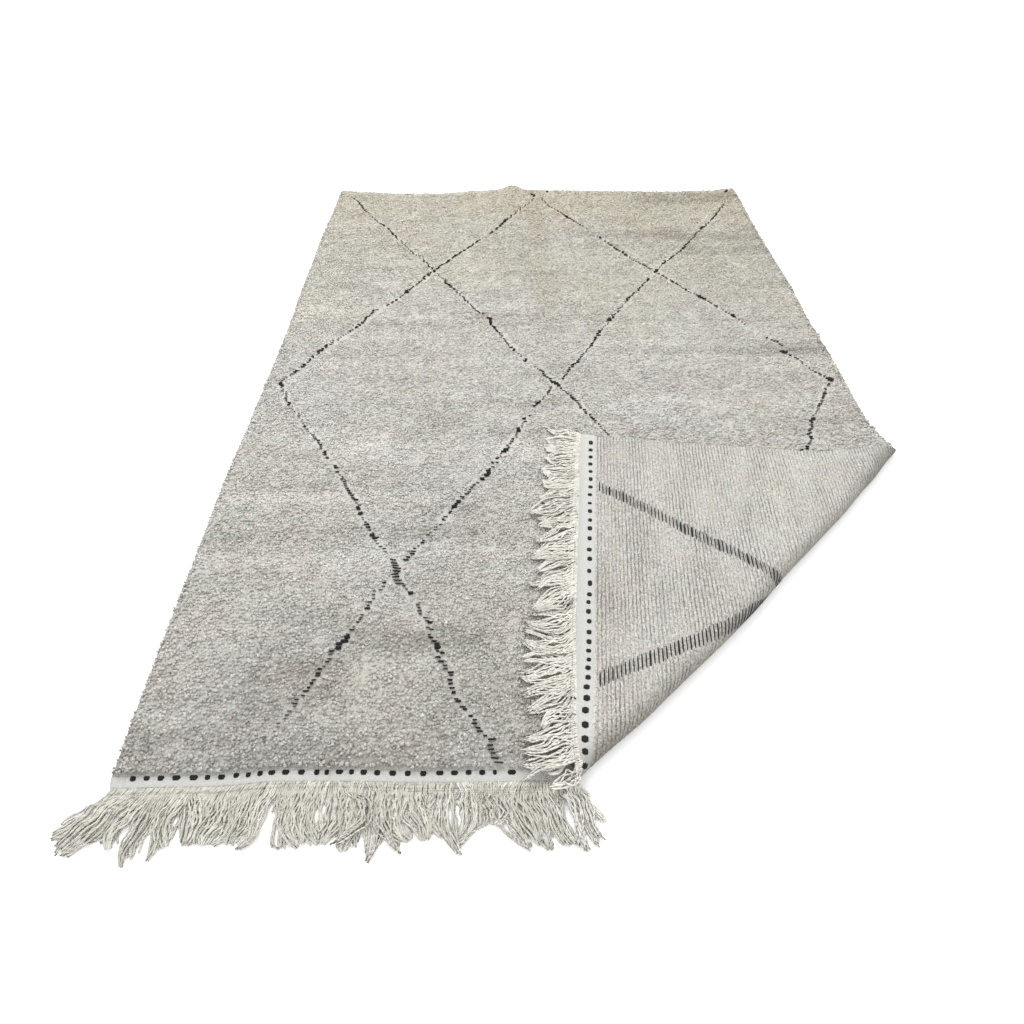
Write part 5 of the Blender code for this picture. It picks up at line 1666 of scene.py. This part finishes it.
def strand_tree():
    """Turns paths into plied strands: an oval section that twists along each path."""
    found = bpy.data.node_groups.get("plied_strand")
    if found:
        return found
    number = "NodeSocketFloat"
    nodes, given, put = new_group(
        "plied_strand", "GeometryNodeTree",
        (("Geometry", "NodeSocketGeometry", None), ("Radius", number, 0.0024),
         ("Flatness", number, 0.72), ("Twist Length", number, 0.024), ("Sides", "NodeSocketInt", 6),
         ("Material", "NodeSocketMaterial", None)),
        (("Geometry", "NodeSocketGeometry"),))
    paths = nodes.add("GeometryNodeMeshToCurve", {0: given.outputs["Geometry"]})
    length = nodes.add("GeometryNodeSplineParameter").outputs["Length"]
    turns = nodes.times(nodes.sum("DIVIDE", length, given.outputs["Twist Length"]), 2.0 * math.pi)
    tone = nodes.add("GeometryNodeInputNamedAttribute", {"Name": "tone"}, data_type="FLOAT")
    turns = nodes.plus(turns, nodes.times(tone.outputs["Attribute"], STRAND_PHASE))
    tilted = nodes.add("GeometryNodeSetCurveTilt", {"Curve": paths.outputs[0], "Tilt": turns})
    sized = nodes.add("GeometryNodeSetCurveRadius",
                      {"Curve": tilted.outputs[0],
                       "Radius": nodes.span(length, 0.0, ROOT_LENGTH, ROOT_SHARE, 1.0)})
    kept = nodes.add("GeometryNodeStoreNamedAttribute",
                     {"Geometry": sized.outputs[0], "Name": "length", "Value": length},
                     data_type="FLOAT", domain="POINT")
    circle = nodes.add("GeometryNodeCurvePrimitiveCircle",
                       {"Resolution": given.outputs["Sides"], "Radius": given.outputs["Radius"]})
    oval = nodes.add("GeometryNodeTransform",
                     {"Geometry": circle.outputs[0],
                      "Scale": nodes.add("ShaderNodeCombineXYZ",
                                         {0: 1.12, 1: given.outputs["Flatness"], 2: 1.0}).outputs[0]})
    around = nodes.add("GeometryNodeSplineParameter").outputs["Factor"]
    section = nodes.add("GeometryNodeStoreNamedAttribute",
                        {"Geometry": oval.outputs[0], "Name": "around", "Value": around},
                        data_type="FLOAT", domain="POINT")
    tubes = nodes.add("GeometryNodeCurveToMesh",
                      {"Curve": kept.outputs[0], "Profile Curve": section.outputs[0],
                       "Fill Caps": True})
    soft = nodes.add("GeometryNodeSetShadeSmooth", {0: tubes.outputs[0]})
    done = nodes.add("GeometryNodeSetMaterial", {"Geometry": soft.outputs[0],
                                                 "Material": given.outputs["Material"]})
    nodes.join(done.outputs[0], put.inputs[0])
    return nodes.tree


def spin_strands(name, paths, seed, tone_range):
    """A piece of plied strands along these paths, each of a tone in the range."""
    rng = np.random.default_rng(seed)
    points, edges, tones = [], [], []
    for path in paths:
        base = len(points)
        points += path.tolist()
        edges += [(base + k, base + k + 1) for k in range(len(path) - 1)]
        tones += [rng.uniform(*tone_range)] * len(path)
    thing = new_object(name, points, [], edges)
    keep_values(thing.data, "tone", tones)
    own = sizes()
    return run_tree(thing, strand_tree(), {
        "Radius": own.strand_radius, "Flatness": own.strand_flatness,
        "Twist Length": own.strand_twist, "Sides": own.strand_sides, "Material": yarn_material()})


def build_floor_fringe():
    """Strands that lie on the floor in front of the hem."""
    rng = np.random.default_rng(23)
    paths = []
    for clump in FLOOR_CLUMPS:
        paths += clump_strands(clump, rng, floor_roots, 0.0, GROUND)
    for clump in under_clumps(FLOOR_CLUMPS, rng):
        paths += clump_strands(clump, rng, floor_roots, 0.0, GROUND, UNDER_PITCH)
    return spin_strands("fringe_on_floor", paths, 24, FLOOR_TONES)


def build_flap_fringe():
    """Strands off the roll of the fold to the floor, and back over the pile from the flap's hem."""
    rng = np.random.default_rng(27)
    paths = []

    def lay(clumps, rest, pitch=STRAND_PITCH):
        for clump in clumps:
            top = flap_roots(0.5 * (clump[0] + clump[1]))[-1, 2]
            level = max(0.0, top - rest - sizes().strand_radius)
            paths.extend(clump_strands(clump, rng, flap_roots, rest, level, pitch))

    on_pile = THICKNESS + CLUMP_REST
    lay(ROLL_CLUMPS, 0.0)
    lay(FLAP_CLUMPS, on_pile)
    lay(under_clumps(FLAP_CLUMPS, rng), on_pile, UNDER_PITCH)
    return spin_strands("fringe_on_flap", paths, 28, FLAP_TONES)


# ---------------------------------------------------------------- the stage

# the camera: place, tilt down, turn to the right, roll, lens on a 36 mm sensor
CAMERA_PLACE = (-0.183, -1.9745, 1.366)
CAMERA_DOWN = math.radians(47.56)
CAMERA_TURN = math.radians(0.98)
CAMERA_ROLL = math.radians(-0.16)
CAMERA_LENS = 23.11
FLOOR_HALF = 30.0
WORLD_LIGHT = 1.45
# the soft lamp: place, what it looks at, size of its side, power
WINDOW = ((-1.2, 2.2, 4.4), (0.0, 0.2, 0.0), 2.4, 190.0)


def build_floor():
    """A plain pale floor."""
    half = FLOOR_HALF
    floor = new_object("floor", [(-half, -half, 0.0), (half, -half, 0.0), (half, half, 0.0),
                                 (-half, half, 0.0)], [(0, 1, 2, 3)])
    floor.data.materials.append(floor_material())
    return floor


def soft_light(name, spot, aim, size, power):
    """A large soft lamp that looks at a point."""
    lamp = bpy.data.lights.new(name, "AREA")
    lamp.shape = "SQUARE"
    lamp.size = size
    lamp.energy = power
    thing = linked(name, lamp)
    thing.location = spot
    thing.rotation_euler = (Vector(aim) - Vector(spot)).to_track_quat("-Z", "Y").to_euler()
    return thing


def build_camera():
    """A camera at the photo's angle."""
    data = bpy.data.cameras.new("camera")
    data.sensor_width = 36.0
    data.lens = CAMERA_LENS
    data.clip_end = 100.0
    camera = linked("camera", data)
    turn = Matrix.Rotation(-CAMERA_TURN, 4, "Z") @ Matrix.Rotation(math.pi / 2.0 - CAMERA_DOWN, 4, "X")
    turn = turn @ Matrix.Rotation(-CAMERA_ROLL, 4, "Z")
    camera.matrix_world = Matrix.Translation(CAMERA_PLACE) @ turn
    bpy.context.scene.camera = camera
    return camera


def build_world(strength):
    """Even white light from all around."""
    world = bpy.data.worlds.new("studio")
    world.use_nodes = True
    background = world.node_tree.nodes["Background"]
    background.inputs["Color"].default_value = (1.0, 1.0, 1.0, 1.0)
    background.inputs["Strength"].default_value = strength
    bpy.context.scene.world = world
    return world


# ---------------------------------------------------------------- settings

def colour_setting(label, text, value):
    """A colour that a user can change."""
    return FloatVectorProperty(name=label, description=text, default=value, size=3, min=0.0, max=1.0,
                               subtype="COLOR")


def length_setting(label, text, value):
    """A length that a user can change."""
    return FloatProperty(name=label, description=text, default=value, min=0.0, unit="LENGTH",
                         precision=4)


class RugColours(bpy.types.PropertyGroup):
    """Colours of the wool and the yarn."""

    light: colour_setting("Light Wool", "Palest wool of the pile", (0.688, 0.688, 0.656))
    middle: colour_setting("Middle Wool", "Main wool of the pile", (0.544, 0.54, 0.508))
    dark: colour_setting("Dark Wool", "Darkest wool of the pile", (0.304, 0.296, 0.272))
    warm: colour_setting("Warm Tint", "Tint of the warmer lots of wool", (1.0, 0.955, 0.83))
    mauve: colour_setting("Mauve Tint", "Tint of the greyer patches of wool", (1.0, 0.967, 0.965))
    back: colour_setting("Back", "Main wool of the woven back", (0.45, 0.444, 0.415))
    back_light: colour_setting("Back Light", "Palest wool of the woven back", (0.60, 0.597, 0.568))
    back_dark: colour_setting("Back Dark", "Darkest wool of the woven back", (0.255, 0.251, 0.231))
    # painted shade of the back's grooves and between its knots, and the colour of its dark specks
    groove: colour_setting("Groove", "Wool deep between the rows of the back", (0.104, 0.1, 0.092))
    band: colour_setting("Hem Band", "Pale yarn of the hem", (0.53, 0.53, 0.506))
    fringe: colour_setting("Fringe", "Cream yarn of the fringe", (0.62, 0.605, 0.55))
    fringe_deep: colour_setting("Fringe Deep", "Darker cream of the fringe", (0.435, 0.423, 0.372))
    black: colour_setting("Dark Yarn", "Yarn of the lattice", (0.009, 0.0085, 0.0085))
    brown: colour_setting("Brown", "Paler brown where the dark lines run thin", (0.16, 0.145, 0.125))


class RugSizes(bpy.types.PropertyGroup):
    """Sizes of the tufts and the strands."""

    tuft_width: FloatProperty(name="Tuft Width", description="Width of the tufts against their usual",
                              default=1.0, min=0.3, max=2.0)
    tuft_length: FloatProperty(name="Tuft Length", description="Length of the tufts, as a share",
                               default=1.0, min=0.3, max=1.5)
    tuft_scatter: FloatProperty(name="Tuft Scatter", description="How much tufts differ in size",
                                default=0.16, min=0.0, max=0.5, subtype="FACTOR")
    tuft_turn: FloatProperty(name="Tuft Turn", description="How far tufts turn about themselves",
                             default=0.9, min=0.0, max=3.2, subtype="ANGLE")
    tuft_lean: FloatProperty(name="Tuft Lean", description="Lean of the tufts in degrees",
                             default=30.0, min=0.0, max=70.0)
    lattice_seed: IntProperty(name="Lattice Seed", description="Where the dark lines break",
                              default=5, min=0)
    strand_radius: length_setting("Strand Radius", "Half the thickness of a fringe strand", 0.0023)
    strand_flatness: FloatProperty(name="Strand Flatness", description="Depth of a strand's section "
                                   "against its width", default=0.82, min=0.3, max=1.0)
    strand_twist: length_setting("Strand Twist", "Length of one full twist", 0.024)
    strand_sides: IntProperty(name="Strand Sides", description="Faces around a strand", default=5,
                              min=3, max=12)


# ---------------------------------------------------------------- operators

def dress(piece, slot_name, *nodes):
    """Let a piece ride on the rug's body and hide the solids that it stands for. slot_name is not used.
    """
    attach(piece, BODY)
    if nodes:
        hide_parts(*nodes)
    return piece


class RUG_OT_cloth(bpy.types.Operator):
    """Make the folded cloth: woven back, hem band and body of the pile"""

    bl_idname = "rug.cloth"
    bl_label = "Cloth"

    def execute(self, context):
        dress(build_cloth(), "heathered_wool", "rug_cloth")
        return {"FINISHED"}


class RUG_OT_pile(bpy.types.Operator):
    """Knot the pale pile, tuft by tuft"""

    bl_idname = "rug.pile"
    bl_label = "Pile"

    def execute(self, context):
        for piece in build_pile():
            dress(piece, "heathered_wool")
        return {"FINISHED"}


class RUG_OT_lattice(bpy.types.Operator):
    """Knot the dark lattice"""

    bl_idname = "rug.lattice"
    bl_label = "Lattice"

    def execute(self, context):
        dress(build_lattice(), "heathered_wool")
        return {"FINISHED"}


class RUG_OT_strokes(bpy.types.Operator):
    """Weave the lattice's dark strokes on the turned-back corner"""

    bl_idname = "rug.strokes"
    bl_label = "Back Strokes"

    def execute(self, context):
        dress(build_strokes(), "heathered_wool")
        return {"FINISHED"}


class RUG_OT_dots(bpy.types.Operator):
    """Stitch the dark dots along the hem"""

    bl_idname = "rug.dots"
    bl_label = "Hem Dots"

    def execute(self, context):
        dress(build_dots(), "heathered_wool")
        return {"FINISHED"}


class RUG_OT_fringe(bpy.types.Operator):
    """Ply the fringe and lay it out"""

    bl_idname = "rug.fringe"
    bl_label = "Fringe"

    def execute(self, context):
        dress(build_floor_fringe(), "fringe_yarn", "fringe_floor")
        dress(build_flap_fringe(), "fringe_yarn", "fringe_flap")
        return {"FINISHED"}


class RUG_OT_declare(bpy.types.Operator):
    """An empty step that makes and changes nothing"""

    bl_idname = "rug.declare"
    bl_label = "Declare Sheet"

    def execute(self, context):
        return {"FINISHED"}


class RUG_OT_stage(bpy.types.Operator):
    """Set up the floor, the light and the camera"""

    bl_idname = "rug.stage"
    bl_label = "Stage"

    def execute(self, context):
        build_floor()
        build_world(WORLD_LIGHT)
        soft_light("window", *WINDOW)
        build_camera()
        context.scene.view_settings.view_transform = "Standard"
        return {"FINISHED"}


class RUG_PT_panel(bpy.types.Panel):
    """The rug's settings and steps"""

    bl_label = "Knotted Rug"
    bl_idname = "RUG_PT_panel"
    bl_space_type = "VIEW_3D"
    bl_region_type = "UI"
    bl_category = "Rug"

    def draw(self, context):
        for settings in (context.scene.rug_sizes, context.scene.rug_colours):
            column = self.layout.column(align=True)
            for name in settings.__annotations__:
                column.prop(settings, name)
        column = self.layout.column(align=True)
        for step in STEPS:
            column.operator(step.bl_idname)


STEPS = (RUG_OT_cloth, RUG_OT_pile, RUG_OT_lattice, RUG_OT_strokes, RUG_OT_dots, RUG_OT_fringe,
         RUG_OT_declare, RUG_OT_stage)
CLASSES = (RugColours, RugSizes, *STEPS, RUG_PT_panel)


def register():
    """Add the settings, the steps and the panel."""
    for item in CLASSES:
        bpy.utils.register_class(item)
    bpy.types.Scene.rug_colours = PointerProperty(type=RugColours)
    bpy.types.Scene.rug_sizes = PointerProperty(type=RugSizes)


def unregister():
    """Take them away again."""
    del bpy.types.Scene.rug_sizes
    del bpy.types.Scene.rug_colours
    for item in reversed(CLASSES):
        bpy.utils.unregister_class(item)


def main():
    """Dress the rug and set the stage."""
    register()
    bpy.ops.rug.cloth()
    bpy.ops.rug.pile()
    bpy.ops.rug.lattice()
    bpy.ops.rug.strokes()
    bpy.ops.rug.dots()
    bpy.ops.rug.fringe()
    bpy.ops.rug.declare()
    bpy.ops.rug.stage()


if __name__ == "__main__":
    main()
